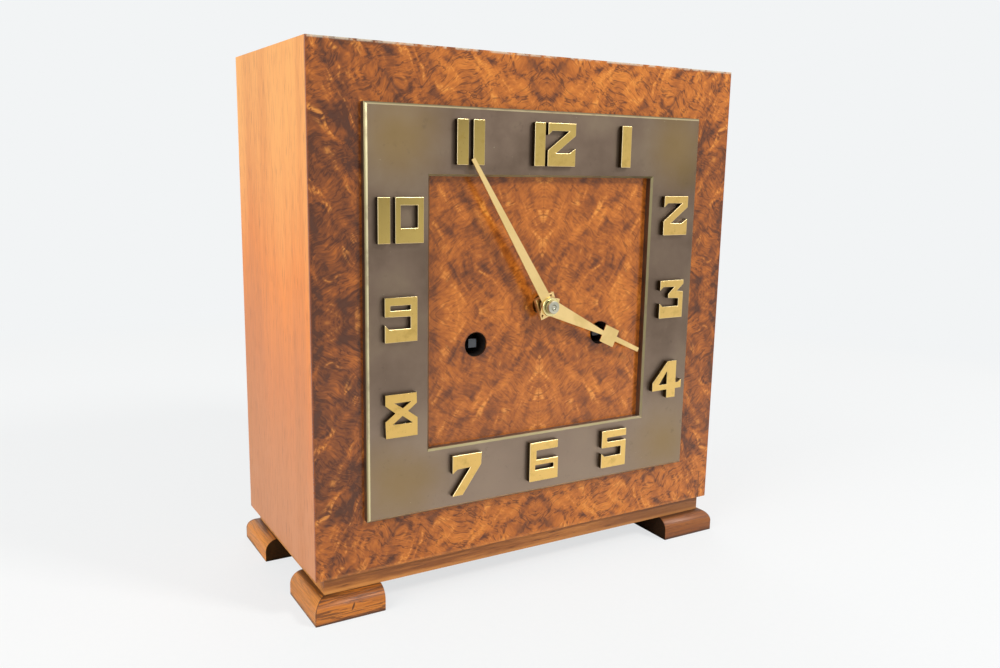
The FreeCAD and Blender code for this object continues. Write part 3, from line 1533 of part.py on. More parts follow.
def make_suspension():
    """Cock on the back plate with the clamp and leaf of the suspension."""
    pallet_z = hub_z + size.pallet_above
    y = cage_end_y
    pendulum_y = cage_end_y + size.pendulum_behind
    half = size.cock_width / 2
    nose = size.cock_nose_width / 2
    low = pallet_z + size.cock_above_pallets
    high = low + size.cock_rise
    clamp = size.suspension_clamp / 2
    leaf_half = size.suspension_width / 2
    end = pendulum_y + leaf_half + size.cock_thick
    keep("suspension_cock", fused("cock", [
        block("cock_foot", (-half, half), (y, y + size.cock_thick), (low, high)),
        block("cock_nose", (-nose, nose), (y, end), (high - size.cock_thick, high)),
        block("cock_clamp", (-clamp, clamp), (pendulum_y - leaf_half, end), (low, high)),
        block(
            "suspension_leaf", (-size.suspension_thick / 2, size.suspension_thick / 2),
            (pendulum_y - leaf_half, pendulum_y + leaf_half), (pallet_z, low),
        ),
    ]))


def make_pendulum():
    """Flat rod with its clamp, lenticular bob and rating nut."""
    pallet_z = hub_z + size.pallet_above
    y = cage_end_y + size.pendulum_behind
    top = pallet_z - size.suspension_play
    half = size.pendulum_rod_width / 2
    thin = size.pendulum_rod_thick / 2
    clamp = size.suspension_clamp / 2
    leaf_half = size.suspension_width / 2
    bob_z = floor_z + size.bob_above_floor
    foot = bob_z - size.pendulum_rod_spare
    strip = block("pendulum_strip", (-half, half), (y - thin, y + thin), (foot, top))
    head = block(
        "pendulum_head", (-clamp, clamp), (y - leaf_half, y + leaf_half),
        (top - 2 * size.suspension_clamp, top),
    )
    keep("pendulum_rod", fused("pendulum_strip_and_head", [strip, head]))
    slot_foot = bob_z - size.bob_radius - size.rating_nut_rise - size.overrun
    slot_z = (slot_foot, bob_z + size.bob_radius + size.overrun)
    nut_top = bob_z - size.bob_radius
    lens = document.addObject("Part::Feature", "bob_lens")
    lens.Shape = lens_shape(float(size.bob_radius), float(size.bob_thick) / 2, float(size.bob_edge_thick) / 2)
    place(lens, 0, y, bob_z)
    nut = upright_rod(
        "rating_nut", 0, y, (nut_top - size.rating_nut_rise, nut_top), size.rating_nut_radius,
        PIPE_FLAT_COUNT,
    )
    slots = [block("bob_slot_" + str(i), (-half, half), (y - thin, y + thin), slot_z) for i in range(2)]
    keep("pendulum_bob", grouped("bob_and_nut", [
        cut("bob", lens, slots[:1]), cut("rating_nut_slotted", nut, slots[1:]),
    ]))


def lens_shape(radius, half_thick, half_edge):
    """Flat-faced lens about the depth axis: full at half its radius, thin at its rim."""
    step = FULL_TURN / DRUM_FLAT_COUNT
    rings = [
        [
            FreeCAD.Vector(reach * math.cos(i * step), depth, reach * math.sin(i * step))
            for i in range(DRUM_FLAT_COUNT + 1)
        ]
        for reach, depth in (
            (radius / 2, -half_thick), (radius, -half_edge), (radius, half_edge), (radius / 2, half_thick),
        )
    ]
    faces = [Part.Face(Part.makePolygon(rings[0])), Part.Face(Part.makePolygon(rings[-1]))]
    for near, far in zip(rings, rings[1:]):
        for i in range(DRUM_FLAT_COUNT):
            corners = [near[i], near[i + 1], far[i + 1], far[i], near[i]]
            faces.append(Part.Face(Part.makePolygon(corners)))
    return Part.Solid(Part.Shell(faces))


# Strike

def make_hammer():
    """Hammer: arbor and tail between the plates, arm and two heads behind them."""
    gap = float(size.cage_gap)
    plate = float(size.plate_thick)
    shake = float(size.end_shake)
    pivot = disc(float(size.pivot_radius), -plate, plate + shake, PIVOT_FLAT_COUNT)
    arm_y = gap + plate + float(size.hammer_arm_behind)
    wire = float(size.hammer_arm_radius)
    arbor = disc(float(size.arbor_radius), shake, arm_y + 2 * wire - shake, PIVOT_FLAT_COUNT)

    distance = span_of(-size.hammer_across, size.hammer_above, -size.pin_wheel_across, size.pin_wheel_above)
    outermost = float(size.strike_pin_circle + size.strike_pin_radius + size.hammer_tail_clearance)
    tail_length = distance - outermost
    half = float(size.hammer_tail_width) / 2
    tail_y = float(size.pin_wheel_level + size.wheel_thick + size.strike_pin_length / 2)
    rise = float(size.pin_wheel_above) - float(size.hammer_above)
    across = float(size.hammer_across) - float(size.pin_wheel_across)
    angle = math.degrees(math.atan2(rise, across))
    tail_thick = float(size.hammer_tail_thick)
    tail = Part.makeBox(tail_length, tail_thick, 2 * half, FreeCAD.Vector(0, tail_y, -half))
    tail.rotate(FreeCAD.Vector(0, 0, 0), DEPTH_AXIS, -angle)
    tail_boss = disc(2 * float(size.arbor_radius), tail_y, tail_thick)

    head_x = float(size.hammer_across) - float(hammer_head_x)
    head_z = -float(size.hammer_head_below) - float(size.hammer_above)
    spacing = float(size.gong_rod_spacing)
    rod_y = gap + plate + float(size.gong_behind_plate)
    reach = math.hypot(head_x, head_z)
    arm = Part.makeBox(2 * wire, 2 * wire, reach + wire, FreeCAD.Vector(-wire, arm_y - wire, -reach - wire))
    arm.rotate(FreeCAD.Vector(0, 0, 0), DEPTH_AXIS, math.degrees(math.atan2(-head_x, -head_z)))
    bar = disc(wire, arm_y - wire, rod_y + spacing / 2 - arm_y + wire, PIVOT_FLAT_COUNT)
    bar.translate(FreeCAD.Vector(head_x, 0, head_z))
    shapes = [tail, tail_boss, arm, bar, pivot]
    length = float(size.hammer_head_length)
    for side in (-1, 1):
        head = disc(float(size.hammer_head_radius), 0, length)
        head.rotate(FreeCAD.Vector(0, 0, 0), FreeCAD.Vector(0, 0, 1), -QUARTER_TURN_DEGREES)
        head.translate(FreeCAD.Vector(head_x - length / 2, rod_y + side * spacing / 2, head_z))
        shapes.append(head)
    solid_node("hammer", arbor.fuse(shapes), -size.hammer_across, cage_y, hub_z + size.hammer_above)


def make_gong():
    """Cast block on the case bottom with two upright tuned rods."""
    x = -gong_x
    y = cage_end_y + size.gong_behind_plate
    half_width = size.gong_block_width / 2
    half_depth = size.gong_block_depth / 2
    top = floor_z + size.gong_block_rise
    outline = rectangle((x - half_width, x + half_width), (y - half_depth, y + half_depth))
    body = padded("gong_blank", [outline], size.gong_block_rise, role="XY_Plane")
    place(body, 0, 0, floor_z)
    document.recompute()
    near = float(size.gong_block_edge) / 100
    rise = float(size.gong_block_rise)
    edge_names = edges_between(
        body.Tip.Shape, (-math.inf, -math.inf, rise - near), (math.inf, math.inf, rise + near),
    )
    dress(body, "Chamfer", edge_names, Size=size.gong_block_edge)
    rods = []
    seats = []
    for side in (-1, 1):
        rod_y = y + side * size.gong_rod_spacing / 2
        tag = str(side + 1)
        seats.append(upright_rod(
            "gong_seat_" + tag, x, rod_y,
            (top - size.gong_rod_seat, top + size.overrun), size.gong_rod_radius, PIPE_FLAT_COUNT,
        ))
        rods.append(upright_rod(
            "gong_rod_" + tag, x, rod_y,
            (top - size.gong_rod_seat, top - size.gong_rod_seat + size.gong_rod_length), size.gong_rod_radius,
            PIPE_FLAT_COUNT,
        ))
    keep("gong_block", cut("gong_block_bored", body, seats))
    keep("gong_rods", grouped("gong_rod_pair", rods))


def check_and_export():
    """Stop if anything failed, then write each sub-part to its own file."""
    document.recompute()
    for piece in document.Objects:
        for word in ("Invalid", "Error"):
            if word in piece.State:
                raise RuntimeError(piece.Name + " is in state " + word)
    for piece in nodes:
        if piece.Shape.isNull() or not piece.Shape.isValid():
            raise RuntimeError(piece.Label + " has no sound shape")
    os.makedirs("parts", exist_ok=True)
    for piece in nodes:
        piece.Shape.exportStep(os.path.join("parts", piece.Label + ".step"))


make_case()
make_plinth()
make_feet()
make_door()
make_hinges()
make_knob()
make_turn_button()
make_dial_frame()
make_numerals()
make_hands()
going_train, strike_train = make_trains()
make_winding("going", size.barrel_across, 1)
make_winding("strike", -size.barrel_across, -1)
make_click("going_click", 1)
make_click("strike_click", -1)
make_motion_work()
make_plates(going_train, strike_train)
make_pillars()
make_anchor()
make_suspension()
make_pendulum()
make_hammer()
make_gong()
check_and_export()
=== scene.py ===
"""Looks of a wooden desk clock with a square bronze dial ring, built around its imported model.

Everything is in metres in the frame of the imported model: x runs to the right, y to the rear and z up, and
the middle of the footprint is the origin. The parts of the model that nobody sees closely are dressed as
they are. The ones that catch light on an edge or are turned on a lathe get a piece of their own here.
"""

import json
import logging
import math
from collections.abc import Callable, Sequence
from dataclasses import dataclass, field
from enum import Enum

import bmesh
import bpy
import numpy as np
from mathutils import Matrix, Vector

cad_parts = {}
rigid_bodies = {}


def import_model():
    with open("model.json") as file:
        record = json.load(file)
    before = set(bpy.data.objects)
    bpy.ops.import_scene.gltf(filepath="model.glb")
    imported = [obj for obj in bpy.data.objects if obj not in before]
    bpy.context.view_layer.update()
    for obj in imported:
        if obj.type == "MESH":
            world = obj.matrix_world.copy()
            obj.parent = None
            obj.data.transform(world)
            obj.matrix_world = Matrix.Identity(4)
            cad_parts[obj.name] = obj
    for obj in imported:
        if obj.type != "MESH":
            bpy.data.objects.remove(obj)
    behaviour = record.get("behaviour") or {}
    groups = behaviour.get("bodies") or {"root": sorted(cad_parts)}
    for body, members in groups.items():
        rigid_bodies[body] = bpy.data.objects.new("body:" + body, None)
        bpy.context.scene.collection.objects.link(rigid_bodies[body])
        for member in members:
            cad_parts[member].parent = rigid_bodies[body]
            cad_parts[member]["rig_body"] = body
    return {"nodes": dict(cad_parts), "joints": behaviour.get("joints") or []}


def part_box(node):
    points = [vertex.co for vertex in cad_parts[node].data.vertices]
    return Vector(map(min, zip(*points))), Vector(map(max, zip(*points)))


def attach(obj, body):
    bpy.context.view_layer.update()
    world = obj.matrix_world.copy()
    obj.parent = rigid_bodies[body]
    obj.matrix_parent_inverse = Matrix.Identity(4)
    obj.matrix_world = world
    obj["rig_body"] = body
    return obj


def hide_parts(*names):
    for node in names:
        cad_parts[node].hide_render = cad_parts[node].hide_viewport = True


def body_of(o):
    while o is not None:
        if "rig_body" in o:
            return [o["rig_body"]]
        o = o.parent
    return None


LOG = logging.getLogger("desk_clock")
MM = 0.001

SHADE_ANGLE = math.radians(42)
PLANAR_ANGLE = math.radians(0.5)
WELD = 1e-6
LATHE_STEPS = 72
HOLE_RADIUS = 5.6 * MM
BOSS_TRAY = 4.6 * MM
STEEL_RADIUS = 2.6 * MM
CASE_MIDDLE = Vector((0.0, 0.0, 0.142))
LACQUER_IOR = 1.45
ROOM_WHITE = "#F2F4F5"
WHEELS = (
    "minute_wheel", "escape_wheel", "fourth_wheel", "third_wheel", "centre_wheel", "intermediate_wheel",
    "going_barrel", "fly", "warning_wheel", "pin_wheel", "strike_second_wheel", "strike_barrel",
)

Colour = tuple[float, float, float, float]
Material = bpy.types.Material
Pair = tuple[float, float]
Place = tuple[float, float, float]
Stops = Sequence[tuple[float, str]]
Shell = tuple[np.ndarray, np.ndarray]

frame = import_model()


def linear(code: str) -> Colour:
    """Linear colour of an sRGB hex code.

    Args:
        code: Six hex digits after a hash sign.

    Returns:
        Red, green, blue and alpha for a colour socket.
    """
    shares = (int(code[i : i + 2], 16) / 255 for i in (1, 3, 5))
    red, green, blue = (s / 12.92 if s <= 0.04045 else ((s + 0.055) / 1.055) ** 2.4 for s in shares)
    return red, green, blue, 1.0


def per_metre(spacing: float) -> float:
    """Texture scale at which one feature of a noise is as long as a spacing in millimetres."""
    return 1 / (spacing * MM)


def middle_of(node: str) -> Vector:
    """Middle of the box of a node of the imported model, in metres."""
    low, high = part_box(node)
    return (Vector(low) + Vector(high)) / 2


class Axis(Enum):
    """Line that a turned piece goes round, as the numbers of its two cross directions and of its own."""

    DEPTH = (0, 2, 1)
    UPRIGHT = (0, 1, 2)


class Grain(Enum):
    """Direction that the fibres of a board run in, as the stretch of the noise along x, y and z."""

    ALONG_X = (0.06, 1.0, 1.0)
    ALONG_Y = (1.0, 0.06, 1.0)
    UPRIGHT = (1.0, 1.0, 0.06)


@dataclass(frozen=True)
class WoodFinish:
    """Colours and gloss of a straight-grained wood.

    Attributes:
        pale: Colour between the fibres.
        middle: Colour of the fibres.
        dark: Colour of the late wood.
        pore: Colour inside the open pores.
        roughness: Roughness of the wood under its polish.
        coat: Weight of the clear polish.
        pore_share: Share of the surface that pores take.
    """

    pale: str
    middle: str
    dark: str
    pore: str
    roughness: float = 0.42
    coat: float = 0.15
    pore_share: float = 0.34


@dataclass(frozen=True)
class MetalFinish:
    """Colours and gloss of a metal.

    Attributes:
        clean: Colour where the metal is handled.
        dull: Colour where it has tarnished.
        roughness: Lowest roughness.
        spread: How much rougher the tarnished places are.
        brush: Direction of fine brush marks.
    """

    clean: str
    dull: str
    roughness: float = 0.3
    spread: float = 0.15
    brush: Grain = Grain.ALONG_X


FINISHES = {
    "side_veneer": WoodFinish("#D59350", "#CC7B35", "#AE6429", "#6E3818", roughness=0.5, coat=0.0),
    "top_veneer": WoodFinish("#C97F3A", "#B3682C", "#8E4E20", "#4A240D", roughness=0.36, coat=0.1),
    "foot": WoodFinish("#D0822A", "#AE641D", "#6E390E", "#2E1506", roughness=0.44, coat=0.0),
    "plinth": WoodFinish("#D28E48", "#B47232", "#7A4416", "#34180A", roughness=0.46, coat=0.0),
    "door": WoodFinish("#A8713F", "#935D31", "#744321", "#42230F", roughness=0.5, coat=0.1),
    "inner": WoodFinish("#C9A274", "#B98F60", "#9D7448", "#6B4A2A", roughness=0.65, coat=0.0),
    "plate_brass": MetalFinish("#DCBC70", "#CBA95E", roughness=0.28, spread=0.1, brush=Grain.UPRIGHT),
    "wheel_brass": MetalFinish("#E0C070", "#C9A65A", roughness=0.25),
    "hinge_brass": MetalFinish("#CDAF68", "#AC8F50", roughness=0.32, brush=Grain.UPRIGHT),
    "hand_brass": MetalFinish("#EACB8C", "#DABC7C", roughness=0.32, spread=0.06),
    "washer_brass": MetalFinish("#E6D79C", "#CBB878", roughness=0.22, spread=0.1),
    "nickel": MetalFinish("#B9B6A4", "#8C8878", roughness=0.24, spread=0.12),
    "steel": MetalFinish("#8E9196", "#5F6267", roughness=0.34),
    "square_steel": MetalFinish("#606265", "#3E3F41", roughness=0.45),
    "iron": MetalFinish("#3A3A3C", "#26221F", roughness=0.55),
}
SIDE_STOPS: Stops = ((0.0, "#BE8056"), (0.3, "#C97A43"), (0.62, "#DC8133"), (1.0, "#E29C50"))
BRONZE_STOPS: Stops = ((0.3, "#665649"), (0.5, "#746355"), (0.7, "#7E6E5C"))
NUMERAL_STOPS: Stops = ((0.04, "#968049"), (0.2, "#BAA05B"), (0.5, "#D0AC63"), (1.0, "#DDB96F"))
BURL_STOPS: Stops = (
    (0.33, "#50280F"), (0.41, "#7C4116"), (0.475, "#9B541A"), (0.54, "#B36521"), (0.6, "#C57528"), (0.7, "#D88D3C"),
)


@dataclass(frozen=True)
class MarksAndShade:
    """Where the wood is marked or painted with shade, in metres. A pair is the value with no mark and the one with
    the full mark.
    """

    rim: Pair = (0.1192, 0.1199)
    veneer_top: Pair = (0.2617, 0.2627)
    veneer_foot: Pair = (0.0216, 0.0206)
    crack_x: float = 0.1143
    crack_stray: float = 0.0012
    crack_width: Pair = (0.00035, 0.0001)
    crack_top: Pair = (0.0365, 0.0345)
    side_arris: Pair = (-0.0516, -0.0532)
    side_rise: Pair = (0.02, 0.26)
    foot_shaded: Pair = (-0.02, 0.06)
    foot_mitre: Pair = (0.0005, 0.0001)
    foot_floor: Pair = (0.0022, 0.0004)
    foot_ledge: Pair = (0.0108, 0.012)
    nick_place: Pair = (-0.1035, 0.0062)
    nick_angle: float = math.radians(24)
    nick_size: Pair = (0.0006, 0.0003)
    plinth_shaded: Pair = (0.0, 0.08)
    plinth_foot: Pair = (0.0142, 0.0128)
    plinth_top: Pair = (0.0192, 0.0197)


@dataclass(frozen=True)
class BurlFigure:
    """Figure of the burr walnut veneer: sizes in millimetres, and where it changes tone in metres.

    Attributes:
        sweep: Length over which the whole figure bends.
        swing: How far it bends at the middle and at the sides.
        stroke: Width of the thin dark strokes, coarser than real pores so that they show.
        streak: Width of the fibres.
        flame: Width of the bright and dark tongues that cross the fibres.
        blotch: Size of the light and dark patches.
        line: Spacing of the growth lines.
        slant: Angle of the fibres from the level.
        outer: Where it grows wilder, as a distance from the middle of the dial.
        past_ring: The same distance where the tone changes past the ring.
        level: Where the tone rises from the left.
        corner: How far left, and over the middle of the dial, the upper left corner darkens.
    """

    sweep: float = 30.0
    swing: Pair = (7.0, 12.0)
    stroke: float = 1.2
    streak: float = 1.1
    flame: float = 4.6
    blotch: float = 16.0
    line: float = 4.4
    slant: float = math.radians(34)
    outer: Pair = (0.07, 0.1)
    past_ring: Pair = (0.085, 0.1)
    level: Pair = (-0.125, 0.02)
    corner: tuple[Pair, Pair] = ((-0.03, -0.1), (0.07, 0.11))


MARKS_AND_SHADE = MarksAndShade()
BURL = BurlFigure()


def arithmetic(operation: str, backwards: bool = False) -> Callable[..., "Signal"]:
    """Make an operator for signals that adds the node for one sum.

    Args:
        operation: Name of the sum.
        backwards: Whether the signal itself is the second number.

    Returns:
        The operator.
    """

    def apply(first: "Signal", *others: "Signal | float") -> "Signal":
        """Add the node and read its result."""
        values = (*others, first) if backwards else (first, *others)
        return first.nodes.add("Math", {"operation": operation}, dict(enumerate(values)))

    return apply


@dataclass(frozen=True)
class Signal:
    """Output of a node. Ordinary arithmetic on it adds the nodes for that sum.

    Attributes:
        nodes: Tree that it belongs to.
        socket: The output itself.
    """

    nodes: "Nodes"
    socket: bpy.types.NodeSocket | None

    __add__ = arithmetic("ADD")
    __sub__ = arithmetic("SUBTRACT")
    __rsub__ = arithmetic("SUBTRACT", backwards=True)
    __mul__ = arithmetic("MULTIPLY")
    __abs__ = arithmetic("ABSOLUTE")
    highest = arithmetic("MAXIMUM")
    lowest = arithmetic("MINIMUM")
    below = arithmetic("LESS_THAN")
    sign = arithmetic("SIGN")

    def band(self, low: float, high: float) -> "Signal":
        """Mask that rises smoothly from nothing at one value of this number to full at another.

        Args:
            low: Value with no mask.
            high: Value with the full mask, above or below the other.

        Returns:
            The mask from 0 to 1.
        """
        if low > high:
            return 1.0 - self.band(high, low)
        reach = {"Value": self, "From Min": low, "From Max": high}
        return self.nodes.add("MapRange", {"interpolation_type": "SMOOTHSTEP"}, reach)


@dataclass
class Nodes:
    """Node tree while it is put together."""

    tree: bpy.types.NodeTree

    def add(
        self,
        kind: str,
        settings: dict[str, object] | None = None,
        links: dict[str | int, object] | None = None,
        output: str | int = 0,
    ) -> Signal:
        """Add a node with its settings and the values or links of its inputs.

        Args:
            kind: Type of the node without its ShaderNode prefix.
            settings: Attributes of the node, or the stops of its ramp in rising order.
            links: What goes into each input, a signal to link or a constant.
            output: Output that the next node reads.

        Returns:
            That output.
        """
        node = self.tree.nodes.new("ShaderNode" + kind)
        for key, value in (settings or {}).items():
            if key != "stops":
                setattr(node, key, value)
                continue
            elements = node.color_ramp.elements
            elements.remove(elements[1])
            elements[0].position, elements[0].color = value[0][0], linear(value[0][1])
            for place, code in value[1:]:
                elements.new(place).color = linear(code)
        for key, value in (links or {}).items():
            if isinstance(value, Signal):
                self.tree.links.new(value.socket, node.inputs[key])
            else:
                node.inputs[key].default_value = value
        return Signal(self, node.outputs[output] if node.outputs else None)


@dataclass
class Surface(Nodes):
    """Node tree of one material.

    Attributes:
        name: Name of the material, after the real one.
        point: Place on the object in metres.
        x: How far right that is, as y is how far back and z how far up.
    """

    name: str
    tree: bpy.types.NodeTree = field(init=False)
    material: Material = field(init=False)
    point: Signal = field(init=False)
    x: Signal = field(init=False)
    y: Signal = field(init=False)
    z: Signal = field(init=False)

    def __post_init__(self) -> None:
        """Start the material with nothing but the place on the object."""
        self.material = bpy.data.materials.new(self.name)
        self.material.use_nodes = True
        self.tree = self.material.node_tree
        self.tree.nodes.clear()
        self.point, self.x, self.y, self.z = self.axes("Object")

    def axes(self, output: str) -> tuple[Signal, ...]:
        """A set of texture coordinates.

        Args:
            output: Its name.

        Returns:
            The whole of it, and its three numbers.
        """
        whole = self.add("TexCoord", output=output)
        parts = self.add("SeparateXYZ", links={0: whole}).socket.node.outputs
        return whole, *(Signal(self, part) for part in parts)

    def from_axis(self, axis: Vector) -> Signal:
        """Distance in metres from a line that runs from front to rear through a point."""
        flat = self.add("CombineXYZ", links={"X": self.x, "Z": self.z})
        return self.add("VectorMath", {"operation": "DISTANCE"}, {0: flat, 1: (axis[0], 0.0, axis[2])}, "Value")

    def mottle(
        self, spacing: float, detail: float = 4.0, at: Signal | None = None, stretch: Sequence[float] = (),
        shift: float = 0.0, **more: float,
    ) -> Signal:
        """Cloudy noise whose features have a real size. One drawn out along a direction becomes fibres.

        Args:
            spacing: Length of a feature in millimetres.
            detail: Number of finer layers.
            at: Where it is read, if that is not the place on the object.
            stretch: Scale along x, y and z, small where it is drawn out.
            shift: How far the drawn-out noise moves along x.
            **more: Other inputs of the noise by name.

        Returns:
            The noise from 0 to 1.
        """
        at = at or self.point
        if stretch:
            at = self.add("Mapping", links={"Vector": at, "Scale": stretch, "Location": (shift, 0.0, 0.0)})
        inputs = {"Vector": at, "Scale": per_metre(spacing), "Detail": detail}
        return self.add("TexNoise", links=inputs | {key.title(): value for key, value in more.items()})

    def tint(self, under: Signal | str, mask: Signal, over: Signal | str, weight: float = 1.0) -> Signal:
        """One colour laid over another.

        Args:
            under: Lower colour, or its hex code.
            mask: Where the upper colour lies.
            over: Upper colour, or its hex code.
            weight: How strongly it covers the lower one.

        Returns:
            The colour.
        """
        share = mask if weight == 1.0 else mask * weight
        lower, upper = (linear(colour) if isinstance(colour, str) else colour for colour in (under, over))
        return self.add("Mix", {"data_type": "RGBA", "clamp_result": True}, {0: share, 6: lower, 7: upper}, 2)

    def done(
        self, colour: Signal, rough: Signal | float, relief: tuple[Signal, float, float] | None, **inputs: object
    ) -> Material:
        """Close the tree with a principled surface.

        Args:
            colour: Its base colour.
            rough: Its roughness.
            relief: Height that its normal follows, with the strength and the depth in millimetres, or nothing.
            **inputs: Its other inputs by name, with underscores for spaces.

        Returns:
            The finished material.
        """
        named = {key.replace("_", " "): value for key, value in inputs.items()}
        named |= {"Base Color": colour, "Roughness": rough}
        if relief:
            height, strength, depth = relief
            bump = {"Strength": strength, "Distance": depth * MM, "Height": height}
            named["Normal"] = self.add("Bump", links=bump)
        self.add("OutputMaterial", links={"Surface": self.add("BsdfPrincipled", links=named)})
        return self.material


def fibres(look: Surface, finish: WoodFinish, grain: Grain) -> tuple[Signal, Signal]:
    """Straight grain: broad bands of 9 mm, fibres of 1.1 mm and short open pores of about half a millimetre.

    Real fibres and pores are several times finer, and would not show.

    Args:
        look: The material.
        finish: Colours of the wood.
        grain: Direction of the fibres.

    Returns:
        The colour and the height of the surface.
    """
    bands = look.mottle(9.0, 3.0, stretch=grain.value, distortion=0.6)
    fine = look.mottle(1.1, 5.0, stretch=grain.value, roughness=0.7)
    stops = ((0.36, finish.dark), (0.5, finish.middle), (0.64, finish.pale))
    colour = look.add("ValToRGB", {"stops": stops}, {0: bands * 0.6 + fine * 0.4})
    pores = look.mottle(0.55, 1.0, stretch=grain.value).band(finish.pore_share, finish.pore_share - 0.06)
    return look.tint(colour, pores, finish.pore, 0.75), fine * 0.4 - pores


def inner_faces(look: Surface, colour: Signal, grain: Grain) -> Signal:
    """Bare wood on the faces of the case that look inwards.

    A face looks inwards where its normal points against the line from the middle of the case.

    Args:
        look: The material.
        colour: Colour of the outside.
        grain: Direction of the fibres inside.

    Returns:
        The colour of both.
    """
    normal = look.add("TexCoord", output="Normal")
    outwards = look.add("VectorMath", {"operation": "SUBTRACT"}, {0: look.point, 1: tuple(CASE_MIDDLE)})
    lean = look.add("VectorMath", {"operation": "DOT_PRODUCT"}, {0: normal, 1: outwards}, "Value")
    bare, _ = fibres(look, FINISHES["inner"], grain)
    return look.tint(colour, lean.below(0.0), bare)


def straight_wood(
    name: str, finish: WoodFinish, grain: Grain, bores: Sequence[Vector] = (), bare_inside: bool = False
) -> Material:
    """Straight-grained wood under a thin polish. It gives the eye fibres and open pores that break the shine.

    Args:
        name: Name of the material.
        finish: Its colours and gloss.
        grain: Direction of the fibres.
        bores: Middles of winding holes, whose walls are painted dark as shade.
        bare_inside: Whether the faces that look into the case are bare.

    Returns:
        The material.
    """
    look = Surface(name)
    colour, height = fibres(look, finish, grain)
    patch = look.mottle(60.0, 2.0)
    colour = look.tint(colour, patch.band(0.45, 0.7), finish.dark, 0.22)
    if bare_inside:
        colour = inner_faces(look, colour, grain)
    for bore in bores:
        # Painted shade on the walls of the winding holes.
        wall = look.from_axis(bore).band(HOLE_RADIUS + 1.2 * MM, HOLE_RADIUS + 0.4 * MM)
        colour = look.tint(colour, wall, "#140A05")
    rough = patch * 0.12 + (finish.roughness - 0.06)
    relief = (height, 0.25, 0.2)
    return look.done(colour, rough, relief, IOR=LACQUER_IOR, Coat_Weight=finish.coat, Coat_Roughness=0.18)


def side_veneer() -> Material:
    """Mahogany-coloured side: upright fibres with dark pores, yellower near the top and pinker near the foot.

    Real pores are about 0.2 mm wide, which would not show, so they are drawn nearly four times as coarse.

    Returns:
        The material.
    """
    finish = FINISHES["side_veneer"]
    look = Surface("side_veneer_upright")
    upright = Grain.UPRIGHT.value
    drift = look.mottle(20.0, 3.0, stretch=upright)
    fine = look.mottle(1.2, 5.0, stretch=upright, roughness=0.7)
    rise = ((drift - 0.5) * 0.12 + look.z).band(*MARKS_AND_SHADE.side_rise)
    colour = look.add("ValToRGB", {"stops": SIDE_STOPS}, {0: rise})
    colour = look.tint(colour, (drift * 0.5 + fine * 0.5).band(0.56, 0.4), finish.dark, 0.36)
    pores = look.mottle(0.75, 1.0, stretch=upright).band(0.4, 0.32)
    colour = look.tint(colour, pores, finish.pore, 0.36)
    colour = look.tint(colour, look.y.band(*MARKS_AND_SHADE.side_arris), "#A85418", 0.5)
    colour = inner_faces(look, colour, Grain.UPRIGHT)
    return look.done(colour, finish.roughness, (fine * 0.4 - pores, 0.3, 0.2), IOR=LACQUER_IOR)


def burl_colour(look: Surface, middle_z: float) -> tuple[Signal, Signal]:
    """Figure of burr walnut in four matched quarters.

    The quarters mirror each other about the upright middle line and the middle line of the dial, so the place is
    folded with absolute values first. It is then bent by a slow noise and turned, so that x runs along the
    fibres. Patches, fibres and tongues are noises whose sum picks the colour. The tongues are drawn out across
    the fibres: their bright end ripples over bright fibres like rungs and their dark end smudges dark patches.
    Strokes are the low end of a noise drawn out along the fibres, and growth lines the thin contour of another.

    Args:
        look: The material.
        middle_z: Height of the line where the quarters meet.

    Returns:
        The colour and the height of the surface.
    """
    x, z = look.x, look.z
    across, up = abs(x), abs(z - middle_z)
    outer = across.highest(up).band(*BURL.outer)
    quarter = look.add("CombineXYZ", links={"X": across, "Y": look.y * 0.05, "Z": up})
    slow = {"Vector": quarter, "Scale": per_metre(BURL.sweep), "Detail": 2.5}
    warp = look.add("TexNoise", links=slow, output="Color")
    warp = look.add("VectorMath", {"operation": "SUBTRACT"}, {0: warp, 1: (0.5, 0.5, 0.5)})
    calm, wild = (2 * reach * MM for reach in BURL.swing)
    warp = look.add("VectorMath", {"operation": "SCALE"}, {0: warp, "Scale": outer * (wild - calm) + calm})
    bent = look.add("VectorMath", {"operation": "ADD"}, {0: quarter, 1: warp})
    along = look.add("VectorRotate", {"rotation_type": "Y_AXIS"}, {"Vector": bent, "Angle": -BURL.slant})

    blotch = look.mottle(BURL.blotch, 5.0, bent, roughness=0.6, distortion=0.5)
    streak = look.mottle(BURL.streak, 3.0, along, (0.28, 1.0, 1.0), roughness=0.55)
    flame = look.mottle(BURL.flame, 3.0, along, (1.0, 1.0, 0.3), 0.4, roughness=0.5, distortion=0.3)
    growth = look.mottle(BURL.line, 3.0, along, (0.17, 1.0, 1.0), roughness=0.55, distortion=0.15)
    strokes = look.mottle(BURL.stroke, 2.0, along, (0.12, 1.0, 1.0)).band(0.43, 0.32)

    # The veneer is darker to the left, at the upper left corner and beside the ring; it is paler over and under the
    # ring, a painted sheen.
    tone = blotch * 0.42 + streak * 0.22 + flame * 0.27 - 0.023 + x.band(*BURL.level) * 0.055
    tone = tone + up.band(*BURL.past_ring) * 0.052 - across.band(*BURL.past_ring) * 0.044
    left, upper = BURL.corner
    tone = tone - x.band(*left) * z.band(middle_z + upper[0], middle_z + upper[1]) * 0.03
    colour = look.add("ValToRGB", {"stops": BURL_STOPS}, {0: tone})
    rungs = flame.band(0.57, 0.7) * streak.band(0.38, 0.6)
    colour = look.tint(colour, rungs, "#DC913F", 0.62)
    smudge = flame.band(0.47, 0.32) * blotch.band(0.6, 0.44) * (outer * 0.24 + 0.3)
    colour = look.tint(colour, smudge, "#48291A")
    lines = abs(growth - 0.5).band(0.036, 0.006) * flame.band(0.62, 0.46) * (outer * 0.4 + 0.32)
    colour = look.tint(colour, lines, "#44200D")
    colour = look.tint(colour, strokes, "#4A240C", 0.46)
    seam = across.lowest(up).band(0.3 * MM, 0.1 * MM)
    return look.tint(colour, seam, "#4A240C", 0.25), streak * 0.4 - strokes


